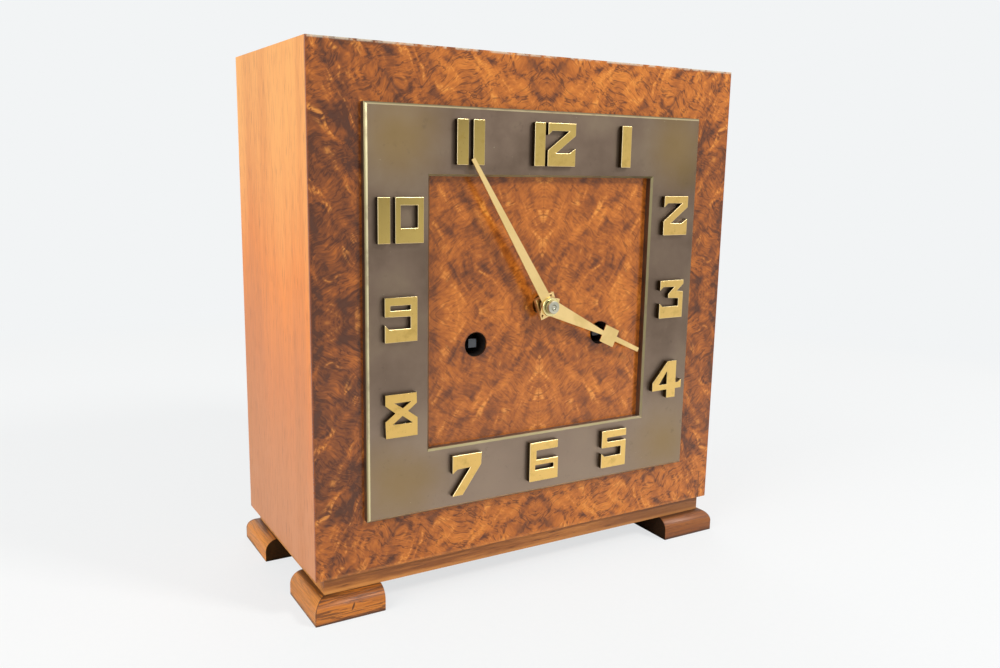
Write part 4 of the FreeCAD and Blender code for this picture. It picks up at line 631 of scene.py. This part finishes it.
def burl_veneer(middle_z: float, holes: Sequence[Vector]) -> Material:
    """Glossy burr walnut veneer, worn pale along its top edge, cracked at one corner and painted dark round the holes
    as shade.

    Args:
        middle_z: Height of the line where the quarters meet.
        holes: Middles of the winding holes.

    Returns:
        The material.
    """
    look = Surface("burr_walnut_veneer")
    x, z = look.x, look.z
    colour, height = burl_colour(look, middle_z)
    colour = look.tint(colour, abs(x).band(*MARKS_AND_SHADE.rim), "#8A4416", 0.55)
    worn = z.band(*MARKS_AND_SHADE.veneer_top) * look.mottle(4.0).band(0.4, 0.56)
    colour = look.tint(colour, worn, "#C9BBA4", 0.75)
    colour = look.tint(colour, z.band(*MARKS_AND_SHADE.veneer_foot), "#B9793F", 0.3)
    stray = (look.mottle(5.0, 2.0) - 0.5) * MARKS_AND_SHADE.crack_stray
    crack = abs(x - MARKS_AND_SHADE.crack_x + stray).band(*MARKS_AND_SHADE.crack_width) * z.band(*MARKS_AND_SHADE.crack_top)
    colour = look.tint(colour, crack, "#1E0D05", 0.85)
    # Painted shade round the rims and walls of the winding holes.
    for hole in holes:
        hole_shade = look.from_axis(hole).band(HOLE_RADIUS + 0.9 * MM, HOLE_RADIUS)
        colour = look.tint(colour, hole_shade, "#160A04", 0.92)
    rough = look.mottle(20.0, 3.0) * 0.14 + 0.14
    return look.done(colour, rough, (height, 0.1, 0.2), IOR=LACQUER_IOR)


def foot_wood() -> Material:
    """Moulded feet: fibres that follow each arm to the mitre, a dark mitre joint, painted shade in the creases and
    inner ends painted black as shade.

    The mitre runs where the distances to the front and to the side outline are the same. An inner end is where
    the normal points back towards both middle lines.

    Returns:
        The material.
    """
    finish = FINISHES["foot"]
    low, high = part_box("feet")
    look = Surface("foot_walnut")
    x, y, z = look.x, look.y, look.z
    past_mitre = (-low[1] - abs(y)) - (high[0] - abs(x))
    side_arm = past_mitre.band(-0.1 * MM, 0.1 * MM)
    front_colour, front_height = fibres(look, finish, Grain.ALONG_X)
    side_colour, side_height = fibres(look, finish, Grain.ALONG_Y)
    colour = look.tint(front_colour, side_arm, side_colour)
    drawn_x, drawn_y = (
        look.add("Mapping", links={"Vector": look.point, "Scale": grain.value})
        for grain in (Grain.ALONG_X, Grain.ALONG_Y)
    )
    drawn = look.add("Mix", {"data_type": "VECTOR"}, {0: side_arm, 4: drawn_x, 5: drawn_y}, 1)
    growth = look.mottle(2.6, 4.0, drawn, roughness=0.6, distortion=0.4)
    late = abs(growth - 0.5).band(0.05, 0.005)
    colour = look.tint(colour, late, "#44200A", 0.72)
    # Painted shade: the feet darker towards the right.
    colour = look.tint(colour, x.band(*MARKS_AND_SHADE.foot_shaded), "#6E3A14", 0.78)
    # Painted light: the side arms lighter than the front arms.
    colour = look.tint(colour, side_arm, "#E09038", 0.42)

    # Painted shade along the floor line and under the ledge, with the dark mitre joint, broken up by the growth
    # noise.
    crease_shade_and_mitre = z.band(*MARKS_AND_SHADE.foot_floor).highest(z.band(*MARKS_AND_SHADE.foot_ledge))
    crease_shade_and_mitre = abs(past_mitre).band(*MARKS_AND_SHADE.foot_mitre).highest(crease_shade_and_mitre) * growth.band(0.3, 0.5)
    colour = look.tint(colour, crease_shade_and_mitre, "#2A1407", 0.82)
    # Painted shade: the inner ends, which face under the case, nearly black and with less shine.
    _, facing_x, facing_y, _ = look.axes("Normal")
    ends = (facing_x * x.sign()).lowest(facing_y * y.sign()).band(-0.55, -0.9)
    colour = look.tint(colour, ends, "#1A140D", 0.94)

    nick_middle = (MARKS_AND_SHADE.nick_place[0], low[1], MARKS_AND_SHADE.nick_place[1])
    nick = look.add("VectorMath", {"operation": "SUBTRACT"}, {0: look.point, 1: nick_middle})
    nick = look.add("VectorRotate", {"rotation_type": "Y_AXIS"}, {"Vector": nick, "Angle": -MARKS_AND_SHADE.nick_angle})
    nick = look.add("Mapping", links={"Vector": nick, "Scale": (1.0, 0.1, 0.24)})
    nick = look.add("VectorMath", {"operation": "LENGTH"}, {0: nick}, "Value").band(*MARKS_AND_SHADE.nick_size)
    colour = look.tint(colour, nick, "#200E05", 0.85)

    height = look.add("Mix", {"data_type": "FLOAT"}, {0: side_arm, 2: front_height, 3: side_height})
    relief = (height - late.highest(nick) * 0.8, 0.35, 0.2)
    rough = ends * 0.45 + finish.roughness
    return look.done(colour, rough, relief, IOR=LACQUER_IOR, Specular_IOR_Level=ends * -0.42 + 0.5)


def plinth_wood() -> Material:
    """Recessed base with level grain, darker to the right as painted shade, whose lower edge is rubbed lighter.

    Returns:
        The material.
    """
    finish = FINISHES["plinth"]
    look = Surface("plinth_walnut")
    colour, height = fibres(look, finish, Grain.ALONG_X)
    # Painted shade: the recessed plinth darker towards the right.
    colour = look.tint(colour, look.x.band(*MARKS_AND_SHADE.plinth_shaded), "#582D12", 0.75)
    colour = look.tint(colour, look.z.band(*MARKS_AND_SHADE.plinth_foot), "#C98A48", 0.4)
    colour = look.tint(colour, look.z.band(*MARKS_AND_SHADE.plinth_top), "#3A1B09", 0.6)
    return look.done(colour, finish.roughness, (height, 0.3, 0.2), IOR=LACQUER_IOR)


def metal(name: str, finish: MetalFinish, arbor: Vector | None = None) -> Material:
    """Satin metal with tarnish clouds and fine brush marks, which are coarser than real ones so that they show.

    Args:
        name: Name of the material.
        finish: Its colours and gloss.
        arbor: A point of the arbor that is steel up to its radius, or nothing.

    Returns:
        The material.
    """
    look = Surface(name)
    cloud = look.mottle(26.0, roughness=0.5)
    colour = look.tint(finish.clean, cloud.band(0.38, 0.7), finish.dull)
    brush = look.mottle(0.35, 2.0, stretch=finish.brush.value)
    colour = look.tint(colour, brush.band(0.4, 0.75), finish.dull, 0.2)
    if arbor:
        steel = look.from_axis(arbor).band(STEEL_RADIUS + 0.02 * MM, STEEL_RADIUS)
        colour = look.tint(colour, steel, FINISHES["steel"].clean)
    rough = cloud * finish.spread + finish.roughness
    return look.done(colour, rough, (brush, 0.06, 0.1), Metallic=1.0)


def bronze_ring(middle_z: float, half: float) -> Material:
    """Patinated bronze dial ring: brown satin faces, paler towards the bottom as a painted reflection of the floor,
    olive blooms at the corners and bevels rubbed bright with a painted highlight.

    Args:
        middle_z: Height of the ring's middle.
        half: Half of its outer side.

    Returns:
        The material.
    """
    look = Surface("patinated_bronze")
    across, up = abs(look.x), abs(look.z - middle_z)
    patina = look.mottle(26.0, roughness=0.55)
    colour = look.add("ValToRGB", {"stops": BRONZE_STOPS}, {0: patina})
    # Painted reflection of the floor: the ring paler towards the bottom.
    colour = look.tint(colour, look.z.band(middle_z, middle_z - half), "#A39282", 0.54)
    corner = look.add("CombineXYZ", links={"X": across, "Z": up})
    middle = (half * 0.84, 0.0, half * 0.84)
    reach = look.add("VectorMath", {"operation": "DISTANCE"}, {0: corner, 1: middle}, "Value")
    bloom = (reach + (patina - 0.5) * 0.03).band(0.032, 0.0)
    colour = look.tint(colour, bloom, "#8C7448", 0.62)
    stain = look.mottle(5.0, 5.0, roughness=0.7).band(0.6, 0.75)
    colour = look.tint(colour, stain, "#54483E", 0.3)
    colour = look.tint(colour, look.mottle(1.1, 1.0).band(0.77, 0.8), "#C9BE9C", 0.35)
    # The bevels are rubbed bright metal with a painted highlight on them, brightest on the outermost bevel.
    front = look.axes("Normal")[2] * -1.0
    rubbed = look.mottle(9.0).band(0.3, 0.5) * 0.4 + 0.45
    bevel = front.band(0.15, 0.3) * front.band(0.985, 0.95) * rubbed
    outline = across.highest(up)
    outermost = outline.band(half - 0.3 * MM, half - 0.8 * MM) * outline.band(0.75 * half, 0.9 * half)
    colour = look.tint(colour, bevel, look.tint("#8E8460", outermost, "#D6CBA0"))
    brush = look.mottle(0.4, 2.0, stretch=Grain.ALONG_X.value)
    return look.done(colour, patina * 0.14 + 0.36 - bevel * 0.12, (brush, 0.05, 0.1), Metallic=1.0)


def numeral_brass(middle_z: float) -> Material:
    """Cast brass numerals: polished faces, pale edges that are rubbed and partly a painted highlight, and nearly
    black sides.

    The faces turn from olive at the upper left to yellow at the lower right.

    Args:
        middle_z: Height of the dial's middle.

    Returns:
        The material.
    """
    look = Surface("cast_brass_numeral")
    fall = (look.x * 0.75 + middle_z - look.z) * 4.4 + 0.6
    colour = look.add("ValToRGB", {"stops": NUMERAL_STOPS}, {0: fall})
    cloud = look.mottle(6.0, 5.0, roughness=0.65)
    colour = look.tint(colour, cloud.band(0.5, 0.72), "#8E7433", 0.35)
    colour = look.tint(colour, look.mottle(0.9, 2.0).band(0.7, 0.76), "#5A4820", 0.4)
    front = look.axes("Normal")[2] * -1.0
    # Pale edges: rubbed brass with a painted highlight.
    edge = front.band(0.3, 0.45) * front.band(0.985, 0.93)
    colour = look.tint(colour, edge, "#F5DFAC", 0.85)
    colour = look.tint(colour, front.band(0.3, 0.2), "#2A2115", 0.94)
    return look.done(colour, cloud * 0.18 + 0.24, (cloud, 0.12, 0.1), Metallic=1.0)


def hour_brass(hub: Vector) -> Material:
    """Brass of the hour hand, with the tray of its boss painted dark as shade under the washer and the minute hand.

    Args:
        hub: A point of the line that the hands turn about.

    Returns:
        The material.
    """
    finish = FINISHES["hand_brass"]
    look = Surface("hand_brass_hour")
    cloud = look.mottle(9.0)
    colour = look.tint(finish.clean, cloud.band(0.42, 0.68), finish.dull)
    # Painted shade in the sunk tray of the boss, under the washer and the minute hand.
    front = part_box("hour_hand")[0][1]
    sunk = look.y.band(front + 0.3 * MM, front + 0.6 * MM)
    tray = sunk * look.from_axis(hub).band(BOSS_TRAY, BOSS_TRAY - 0.2 * MM)
    colour = look.tint(colour, tray, "#3C3018", 0.8)
    return look.done(colour, cloud * finish.spread + finish.roughness, None, Metallic=1.0)


def placed(name: str, data: bpy.types.ID) -> bpy.types.Object:
    """Put an object into the scene.

    Args:
        name: Its name.
        data: Its mesh, lamp or camera.

    Returns:
        The object.
    """
    thing = bpy.data.objects.new(name, data)
    bpy.context.scene.collection.objects.link(thing)
    return thing


def dress(material: Material, *nodes: str) -> None:
    """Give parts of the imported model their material.

    Args:
        material: What they are made of.
        *nodes: Names of the parts.
    """
    for node in nodes:
        mesh = frame["nodes"][node].data
        if not mesh.materials:
            mesh.materials.append(material)
        for number in range(len(mesh.materials)):
            mesh.materials[number] = material
        LOG.info("dressed %s in %s", node, material.name)


def closed(mesh: bpy.types.Mesh, planar: bool) -> None:
    """Weld a mesh and shade it smoothly across shallow folds, with crisp corners.

    Args:
        mesh: The mesh.
        planar: Whether faces in one plane become one face.
    """
    work = bmesh.new()
    work.from_mesh(mesh)
    bmesh.ops.remove_doubles(work, verts=work.verts, dist=WELD)
    if planar:
        bmesh.ops.dissolve_limit(work, angle_limit=PLANAR_ANGLE, verts=work.verts, edges=work.edges)
    bmesh.ops.recalc_face_normals(work, faces=work.faces)
    work.to_mesh(mesh)
    work.free()
    mesh.polygons.foreach_set("use_smooth", np.ones(len(mesh.polygons), dtype=bool))
    mesh.set_sharp_from_angle(angle=SHADE_ANGLE)


def stand_in(mesh: bpy.types.Mesh, name: str, node: str, material: Material) -> bpy.types.Object:
    """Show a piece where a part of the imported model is, and let it move with that part.

    Args:
        mesh: Mesh of the new piece.
        name: Its name.
        node: The part that it stands for.
        material: What it is made of.

    Returns:
        The piece.
    """
    piece = placed(name, mesh)
    mesh.materials.clear()
    mesh.materials.append(material)
    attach(piece, body_of(frame["nodes"][node])[0])
    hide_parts(node)
    LOG.info("piece %s stands for %s in %s", piece.name, node, material.name)
    return piece


def eased(node: str, width: float, material: Material) -> None:
    """Copy a part, and ease its corners as a hand file leaves them.

    Args:
        node: Name of the part.
        width: Width of the eased corner in millimetres.
        material: What it is made of.
    """
    part = frame["nodes"][node]
    mesh = part.data.copy()
    mesh.transform(part.matrix_world)
    closed(mesh, planar=True)
    corner = stand_in(mesh, node + "_eased", node, material).modifiers.new("eased_corners", "BEVEL")
    corner.width = width * MM
    corner.segments = 2
    corner.limit_method = "ANGLE"
    corner.angle_limit = SHADE_ANGLE
    corner.use_clamp_overlap = True
    corner.harden_normals = True


def skin(grid: np.ndarray, closed: bool) -> Shell:
    """Vertices and four-sided faces of a grid whose rows are rings.

    Args:
        grid: Points by row and step round the ring.
        closed: Whether the last row joins the first.

    Returns:
        The vertices and the faces.
    """
    count, steps = grid.shape[:2]
    rows = np.arange(count if closed else count - 1)[:, None]
    round_ring = np.arange(steps)[None, :]
    after_row, after_step = (rows + 1) % count, (round_ring + 1) % steps
    corners = [
        rows * steps + round_ring, after_row * steps + round_ring,
        after_row * steps + after_step, rows * steps + after_step,
    ]
    return grid.reshape(-1, 3), np.stack(np.broadcast_arrays(*corners), axis=-1).reshape(-1, 4)


def turned(middle: Vector, outline: Sequence[Pair], axis: Axis = Axis.DEPTH) -> Shell:
    """Shape turned on a lathe.

    Each ring is an outline point swept round: the first cross direction is the radius times the cosine of the
    turn, the second the radius times its sine, and the long direction the point's own place. An outline that
    starts away from the axis closes on itself round a bore.

    Args:
        middle: A point of the axis.
        outline: Radius, and place along the axis, of each point.
        axis: Direction of the axis.

    Returns:
        The vertices and the faces.
    """
    radius, run = np.array(outline).T
    turn = np.linspace(0, 2 * math.pi, LATHE_STEPS, endpoint=False)
    first, second, long = axis.value
    grid = np.empty((len(radius), LATHE_STEPS, 3))
    grid[..., first] = middle[first] + radius[:, None] * np.cos(turn)
    grid[..., second] = middle[second] + radius[:, None] * np.sin(turn)
    grid[..., long] = run[:, None]
    return skin(grid, radius[0] > 0)


def rod(middle: Vector, radius: float, low: float, high: float, ease: float, axis: Axis) -> Shell:
    """Round rod whose two ends have eased corners.

    Args:
        middle: A point of its axis.
        radius: Its radius.
        low: Where it starts along the axis.
        high: Where it ends.
        ease: Width of the eased corners.
        axis: Direction of the axis.

    Returns:
        The vertices and the faces.
    """
    flat = radius - ease
    outline = [(0, low), (flat, low), (radius, low + ease), (radius, high - ease), (flat, high), (0, high)]
    return turned(middle, outline, axis)


def fitted(middle: Vector, node: str, shape: Sequence[Pair]) -> Shell:
    """Shape turned round a line from front to rear, as wide and as deep as the box of a part.

    Args:
        middle: A point of its axis.
        node: The part.
        shape: Share of the radius, and share of the depth from the front, of each point.

    Returns:
        The vertices and the faces.
    """
    low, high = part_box(node)
    radius, depth = (high[0] - low[0]) / 2, high[1] - low[1]
    return turned(middle, [(radius * share, low[1] + depth * run) for share, run in shape])


def leaf(low: Vector, high: Vector, ease: float) -> Shell:
    """Flat plate whose rear corners are eased: each ring is four corners, drawn in by an inset at its depth.

    Args:
        low: Lowest corner.
        high: Highest corner.
        ease: Width of the eased corners.

    Returns:
        The vertices and the faces.
    """
    half_x, half_z = (high[0] - low[0]) / 2, (high[2] - low[2]) / 2
    reach = np.array([(0, 0), (half_x, half_z), (half_x, half_z), (half_x - ease, half_z - ease), (0, 0)])
    depth = np.array([low[1], low[1], high[1] - ease, high[1], high[1]])
    side = np.array([(-1, -1), (1, -1), (1, 1), (-1, 1)])
    grid = np.empty((5, 4, 3))
    grid[..., 0] = (low[0] + high[0]) / 2 + reach[:, None, 0] * side[:, 0]
    grid[..., 1] = depth[:, None]
    grid[..., 2] = (low[2] + high[2]) / 2 + reach[:, None, 1] * side[:, 1]
    return skin(grid, False)


def made_of(node: str, shells: Sequence[Shell], material: Material) -> None:
    """Join shells to one piece.

    Args:
        node: The part that it stands for.
        shells: Vertices and faces of each.
        material: What it is made of.
    """
    starts = np.cumsum([0] + [len(points) for points, _ in shells[:-1]])
    points = np.concatenate([points for points, _ in shells])
    faces = np.concatenate([faces + start for (_, faces), start in zip(shells, starts)])
    mesh = bpy.data.meshes.new(node + "_made")
    mesh.from_pydata(points.tolist(), [], faces.tolist())
    closed(mesh, planar=False)
    stand_in(mesh, node + "_made", node, material)


@dataclass
class Case:
    """Carcass, veneered front, plinth and feet."""

    middle_z: float

    def build(self) -> None:
        """Dress the carcass and ease the corners that are seen."""
        dress(side_veneer(), "case_left_side", "case_right_side")
        level = straight_wood("top_veneer_across", FINISHES["top_veneer"], Grain.ALONG_X, bare_inside=True)
        dress(level, "case_top", "case_bottom")
        dress(straight_wood("inner_board_upright", FINISHES["inner"], Grain.UPRIGHT), "door_stops")
        holes = [middle_of(arbor) for arbor in ("strike_winding_arbor", "going_winding_arbor")]
        dress(burl_veneer(self.middle_z, holes), "front_veneer")
        dress(straight_wood("front_board_across", FINISHES["inner"], Grain.ALONG_X, holes), "front_board")
        dress(plinth_wood(), "plinth")
        eased("feet", 0.35, foot_wood())


@dataclass
class Dial:
    """Bronze ring with its twelve cast numerals."""

    middle_z: float

    def build(self) -> None:
        """Dress the ring and ease the numerals."""
        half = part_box("dial_frame")[1][0]
        dress(bronze_ring(self.middle_z, half), "dial_frame")
        brass = numeral_brass(self.middle_z)
        for number in range(1, 13):
            eased(f"numeral_{number}", 0.3, brass)


@dataclass
class Hands:
    """Hands with the washer and nut that hold them."""

    hub: Vector

    def build(self) -> None:
        """Ease the hands and turn their washer and nut."""
        eased("minute_hand", 0.12, metal("hand_brass_minute", FINISHES["hand_brass"]))
        eased("hour_hand", 0.12, hour_brass(self.hub))
        self.washer()
        self.nut()

    def washer(self) -> None:
        """Thin dished washer with a rolled rim round the bore for the arbor."""
        shape = [(0.42, 0.35), (0.72, 0.25), (0.88, 0.0), (0.96, 0.08), (1.0, 0.35), (1.0, 1.0), (0.42, 1.0)]
        brass = metal("washer_brass", FINISHES["washer_brass"])
        made_of("hand_washer", [fitted(self.hub, "hand_washer", shape)], brass)

    def nut(self) -> None:
        """Round nut with a broken front corner, and in it the end of the arbor with its centre dimple."""
        low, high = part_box("hand_nut")
        radius = (high[0] - low[0]) / 2
        front, back = low[1], high[1]
        ease = 0.45 * MM
        arbor = 1.15 * MM
        outline = [
            (0, front + 0.55 * MM), (0.35 * MM, front + 0.2 * MM), (arbor - 0.15 * MM, front + 0.15 * MM),
            (arbor, front + 0.3 * MM), (arbor + 0.05 * MM, front + 0.6 * MM), (arbor + 0.3 * MM, front),
            (radius - ease, front), (radius - 0.3 * ease, front + 0.3 * ease), (radius, front + ease),
            (radius, back), (0, back),
        ]
        made_of("hand_nut", [turned(self.hub, outline)], metal("nickel_nut", FINISHES["nickel"]))


@dataclass
class Door:
    """Rear door with its hinges, knob and turn button.

    Attributes:
        leaf_rise: Height of a hinge.
        leaf_thick: Thickness of its leaves.
        knuckle_radius: Radius of its knuckles.
        middle_rise: Height of the middle knuckle.
        play: Gap between knuckles.
        screw_radius: Radius of a screw head.
    """

    leaf_rise: float = 30.0 * MM
    leaf_thick: float = 1.0 * MM
    knuckle_radius: float = 2.2 * MM
    middle_rise: float = 12.0 * MM
    play: float = 0.15 * MM
    screw_radius: float = 1.5 * MM

    def build(self) -> None:
        """Dress the door, and make its hinges and knob."""
        dress(straight_wood("door_walnut_upright", FINISHES["door"], Grain.UPRIGHT), "rear_door")
        self.hinges(metal("hinge_brass", FINISHES["hinge_brass"]))
        eased("turn_button", 0.4, metal("button_brass", FINISHES["hinge_brass"]))
        self.knob(metal("knob_brass", FINISHES["hinge_brass"]))

    def hinges(self, brass: Material) -> None:
        """Two butt hinges, each leaf with its knuckles and three domed screws.

        Args:
            brass: Their material.
        """
        case_low, case_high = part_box("hinge_case_leaves")
        door_low, door_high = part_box("hinge_door_leaves")
        pin_x = (case_low[0] + door_high[0]) / 2
        pin = Vector((pin_x, case_low[1] + self.knuckle_radius, 0.0))
        half, middle_half = self.leaf_rise / 2, self.middle_rise / 2
        case_shells: list[Shell] = []
        door_shells: list[Shell] = []
        for z in (case_low[2] + half, case_high[2] - half):
            case_shells += self.flap(pin_x + 0.6 * self.knuckle_radius, case_high[0], case_low[1], z)
            door_shells += self.flap(door_low[0], pin_x - 0.6 * self.knuckle_radius, case_low[1], z)
            for low, high in ((z - half, z - middle_half - self.play), (z + middle_half + self.play, z + half)):
                case_shells.append(rod(pin, self.knuckle_radius, low, high, 0.15 * MM, Axis.UPRIGHT))
            door_shells.append(
                rod(pin, self.knuckle_radius, z - middle_half, z + middle_half, 0.15 * MM, Axis.UPRIGHT)
            )
        made_of("hinge_case_leaves", case_shells, brass)
        made_of("hinge_door_leaves", door_shells, brass)

    def flap(self, left: float, right: float, front: float, z: float) -> list[Shell]:
        """One leaf of a hinge with its screws.

        Args:
            left: Where it starts from the left.
            right: Where it ends.
            front: Depth of its bedded face.
            z: Height of its middle.

        Returns:
            The leaf and its screw heads.
        """
        half = self.leaf_rise / 2
        face = front + self.leaf_thick
        shells = [leaf(Vector((left, front, z - half)), Vector((right, face, z + half)), 0.2 * MM)]
        radius = self.screw_radius
        dome = [(0, face - 0.1 * MM), (radius, face - 0.1 * MM), (radius, face + 0.1 * MM)]
        dome += [(0.75 * radius, face + 0.3 * MM), (0.4 * radius, face + 0.4 * MM), (0, face + 0.43 * MM)]
        for step in (-0.7, 0.0, 0.7):
            shells.append(turned(Vector(((left + right) / 2, 0.0, z + step * half)), dome))
        return shells

    def knob(self, brass: Material) -> None:
        """Mushroom knob on a short neck.

        Args:
            brass: Its material.
        """
        shape = [
            (0.0, 0.0), (0.45, 0.0), (0.45, 0.42), (0.62, 0.44), (0.62, 0.5), (0.42, 0.56), (0.4, 0.64), (0.6, 0.7),
            (0.92, 0.76), (1.0, 0.82), (0.97, 0.89), (0.8, 0.95), (0.45, 0.99), (0.0, 1.0),
        ]
        made_of("door_knob", [fitted(middle_of("door_knob"), "door_knob", shape)], brass)


@dataclass
class Movement:
    """Plates, wheels, pendulum, hammer and gong.

    Attributes:
        gong_step: Half of the space between the gong rods.
        bob_rim: Half of the bob's thickness at its rim.
        nut_radius: Radius of the rating nut.
    """

    gong_step: float = 5.5 * MM
    bob_rim: float = 1.2 * MM
    nut_radius: float = 3.4 * MM

    def build(self) -> None:
        """Dress the movement, with steel arbors in the brass wheels."""
        plate = metal("plate_brass", FINISHES["plate_brass"])
        dress(plate, "front_plate", "suspension_cock", "going_click", "strike_click")
        eased("back_plate", 0.25, plate)
        steel = metal("blued_steel", FINISHES["steel"])
        dress(steel, "movement_pillars", "mounting_posts", "pallet_anchor", "hammer", "pendulum_rod")
        square = metal("winding_square_steel", FINISHES["square_steel"])
        for node in ("going_winding_arbor", "strike_winding_arbor"):
            eased(node, 0.2, square)
        places = {joint["child"]: Vector(joint["pos_m"]) for joint in frame["joints"]}
        for node in WHEELS:
            dress(metal("wheel_" + node, FINISHES["wheel_brass"], places[node]), node)
        dress(metal("motion_brass", FINISHES["wheel_brass"]), "cannon_pinion", "hour_wheel")
        dress(metal("gong_iron", FINISHES["iron"]), "gong_block")
        self.gong(metal("gong_steel", FINISHES["steel"]))
        self.bob(metal("bob_brass", FINISHES["plate_brass"]))

    def gong(self, steel: Material) -> None:
        """Two tuned rods that stand in the gong block.

        Args:
            steel: Their material.
        """
        low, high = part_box("gong_rods")
        middle = middle_of("gong_rods")
        radius = (high[0] - low[0]) / 2
        rods = [
            rod(Vector((middle[0], middle[1] + step, 0.0)), radius, low[2], high[2], 0.3 * MM, Axis.UPRIGHT)
            for step in (-self.gong_step, self.gong_step)
        ]
        made_of("gong_rods", rods, steel)

    def bob(self, brass: Material) -> None:
        """Lens-shaped bob over its rating nut.

        Half its thickness is the rim's plus a crown times the root of one less the square of the radius share.

        Args:
            brass: Its material.
        """
        low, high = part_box("pendulum_bob")
        radius = (high[0] - low[0]) / 2
        middle = Vector((0.0, (low[1] + high[1]) / 2, high[2] - radius))
        share = np.linspace(0, 1, 17)
        crown = self.bob_rim + ((high[1] - low[1]) / 2 - self.bob_rim) * np.sqrt(1 - share**2)
        front = list(zip(radius * share, middle[1] - crown))
        back = list(zip(radius * share[::-1], middle[1] + crown[::-1]))
        nut = rod(middle, self.nut_radius, low[2], middle[2] - radius, 0.4 * MM, Axis.UPRIGHT)
        made_of("pendulum_bob", [turned(middle, front + back), nut], brass)


@dataclass
class Studio:
    """White room: floor, soft lamps, sky and camera.

    Attributes:
        floor_side: Side of the floor.
        shadow_reach: Distances from the origin between which the floor fades to plain white.
        shadow_fill: How much of the shadow the camera sees filled with white.
        sky_level: Light that the sky casts.
        lamps: Name, place, side and power in watts of each lamp.
        aim: Point that the lamps look at.
        lens: Length of the lens in millimetres.
        eye: Place of the camera.
        eye_turn: Rows of the camera's right, up and backward directions.
    """

    floor_side: float = 8.0
    shadow_reach: Pair = (0.3, 0.85)
    shadow_fill: float = 0.78
    sky_level: float = 0.44
    lamps: tuple[tuple[str, Place, float, float], ...] = (
        ("lamp_left", (-1.35, -0.35, 0.95), 1.2, 20.5),
        ("lamp_right", (0.7, -1.03, 1.1), 0.3, 17.0),
        ("lamp_rear", (0.6, 1.5, 1.3), 1.2, 10.0),
    )
    aim: Place = (0.0, 0.0, 0.13)
    lens: float = 32.506
    eye: Place = (-0.24717, -0.4299, 0.21212)
    eye_turn: tuple[Place, ...] = (
        (0.861186, -0.507957, 0.0184), (0.078913, 0.169373, 0.982388), (-0.502127, -0.844566, 0.185946),
    )

    def build(self) -> None:
        """Put up the floor, the lamps, the sky and the camera."""
        self.floor()
        for name, place, side, power in self.lamps:
            self.lamp(name, Vector(place), side, power)
        self.sky()
        self.camera()

    def floor(self) -> None:
        """Pale floor that fades to white away from the object, so only the soft shadow shows."""
        look = Surface("studio_floor")
        reach = look.add("VectorMath", {"operation": "LENGTH"}, {0: look.point}, "Value")
        stops = ((0.3, "#ECEBE8"), (0.7, "#EFEEEB"))
        paper = look.add("ValToRGB", {"stops": stops}, {0: look.mottle(3.0, 2.0)})
        near = look.add("BsdfDiffuse", links={"Color": paper})
        white = look.add("Emission", links={"Color": linear(ROOM_WHITE), "Strength": 1.0})
        filled = look.add("LightPath", output="Is Camera Ray") * self.shadow_fill
        far = reach.band(*self.shadow_reach).highest(filled)
        look.add("OutputMaterial", links={"Surface": look.add("MixShader", links={0: far, 1: near, 2: white})})
        half = self.floor_side / 2
        mesh = bpy.data.meshes.new("studio_floor")
        mesh.from_pydata([(-half, -half, 0), (half, -half, 0), (half, half, 0), (-half, half, 0)], [], [(0, 1, 2, 3)])
        mesh.materials.append(look.material)
        ground = placed("studio_floor", mesh)

    def lamp(self, name: str, place: Vector, side: float, power: float) -> None:
        """Square soft lamp that points at the middle of the clock.

        Args:
            name: Name of the lamp.
            place: Where it hangs.
            side: Side of its square.
            power: Power in watts.
        """
        data = bpy.data.lights.new(name, "AREA")
        data.shape = "SQUARE"
        data.size = side
        data.energy = power
        lamp = placed(name, data)
        lamp.location = place
        lamp.rotation_mode = "QUATERNION"
        lamp.rotation_quaternion = (Vector(self.aim) - place).to_track_quat("-Z", "Y")

    def sky(self) -> None:
        """White to the camera and to reflections, and a plain level for the light that it casts."""
        world = bpy.data.worlds.new("studio_sky")
        world.use_nodes = True
        world.node_tree.nodes.clear()
        bpy.context.scene.world = world
        nodes = Nodes(world.node_tree)
        seen, mirrored, refracted = (
            nodes.add("LightPath", output=ray) for ray in ("Is Camera Ray", "Is Glossy Ray", "Is Transmission Ray")
        )
        clear = nodes.add("Math", {"operation": "ADD", "use_clamp": True}, {0: seen + mirrored, 1: refracted})
        cast = nodes.add("Background", links={"Color": (0.97, 0.98, 1.0, 1.0), "Strength": self.sky_level})
        white = nodes.add("Background", links={"Color": linear(ROOM_WHITE), "Strength": 1.0})
        nodes.add("OutputWorld", links={"Surface": nodes.add("MixShader", links={0: clear, 1: cast, 2: white})})

    def camera(self) -> None:
        """Camera at the photograph's place, angle and length of lens."""
        data = bpy.data.cameras.new("photo_camera")
        data.sensor_width = 36.0
        data.lens = self.lens
        data.clip_start = 0.01
        camera = placed("photo_camera", data)
        camera.matrix_world = Matrix.Translation(self.eye) @ Matrix(self.eye_turn).transposed().to_4x4()
        bpy.context.scene.camera = camera


def main() -> None:
    """Dress the clock and put up the studio."""
    logging.basicConfig(level=logging.INFO, format="%(message)s")
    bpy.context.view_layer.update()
    bpy.context.scene.view_settings.view_transform = "Standard"
    middle_z = middle_of("dial_frame")[2]
    hub = middle_of("hand_nut")
    for assembly in (Case(middle_z), Dial(middle_z), Hands(hub), Door(), Movement()):
        assembly.build()
    Studio().build()
    bpy.context.view_layer.update()


if __name__ == "__main__":
    main()
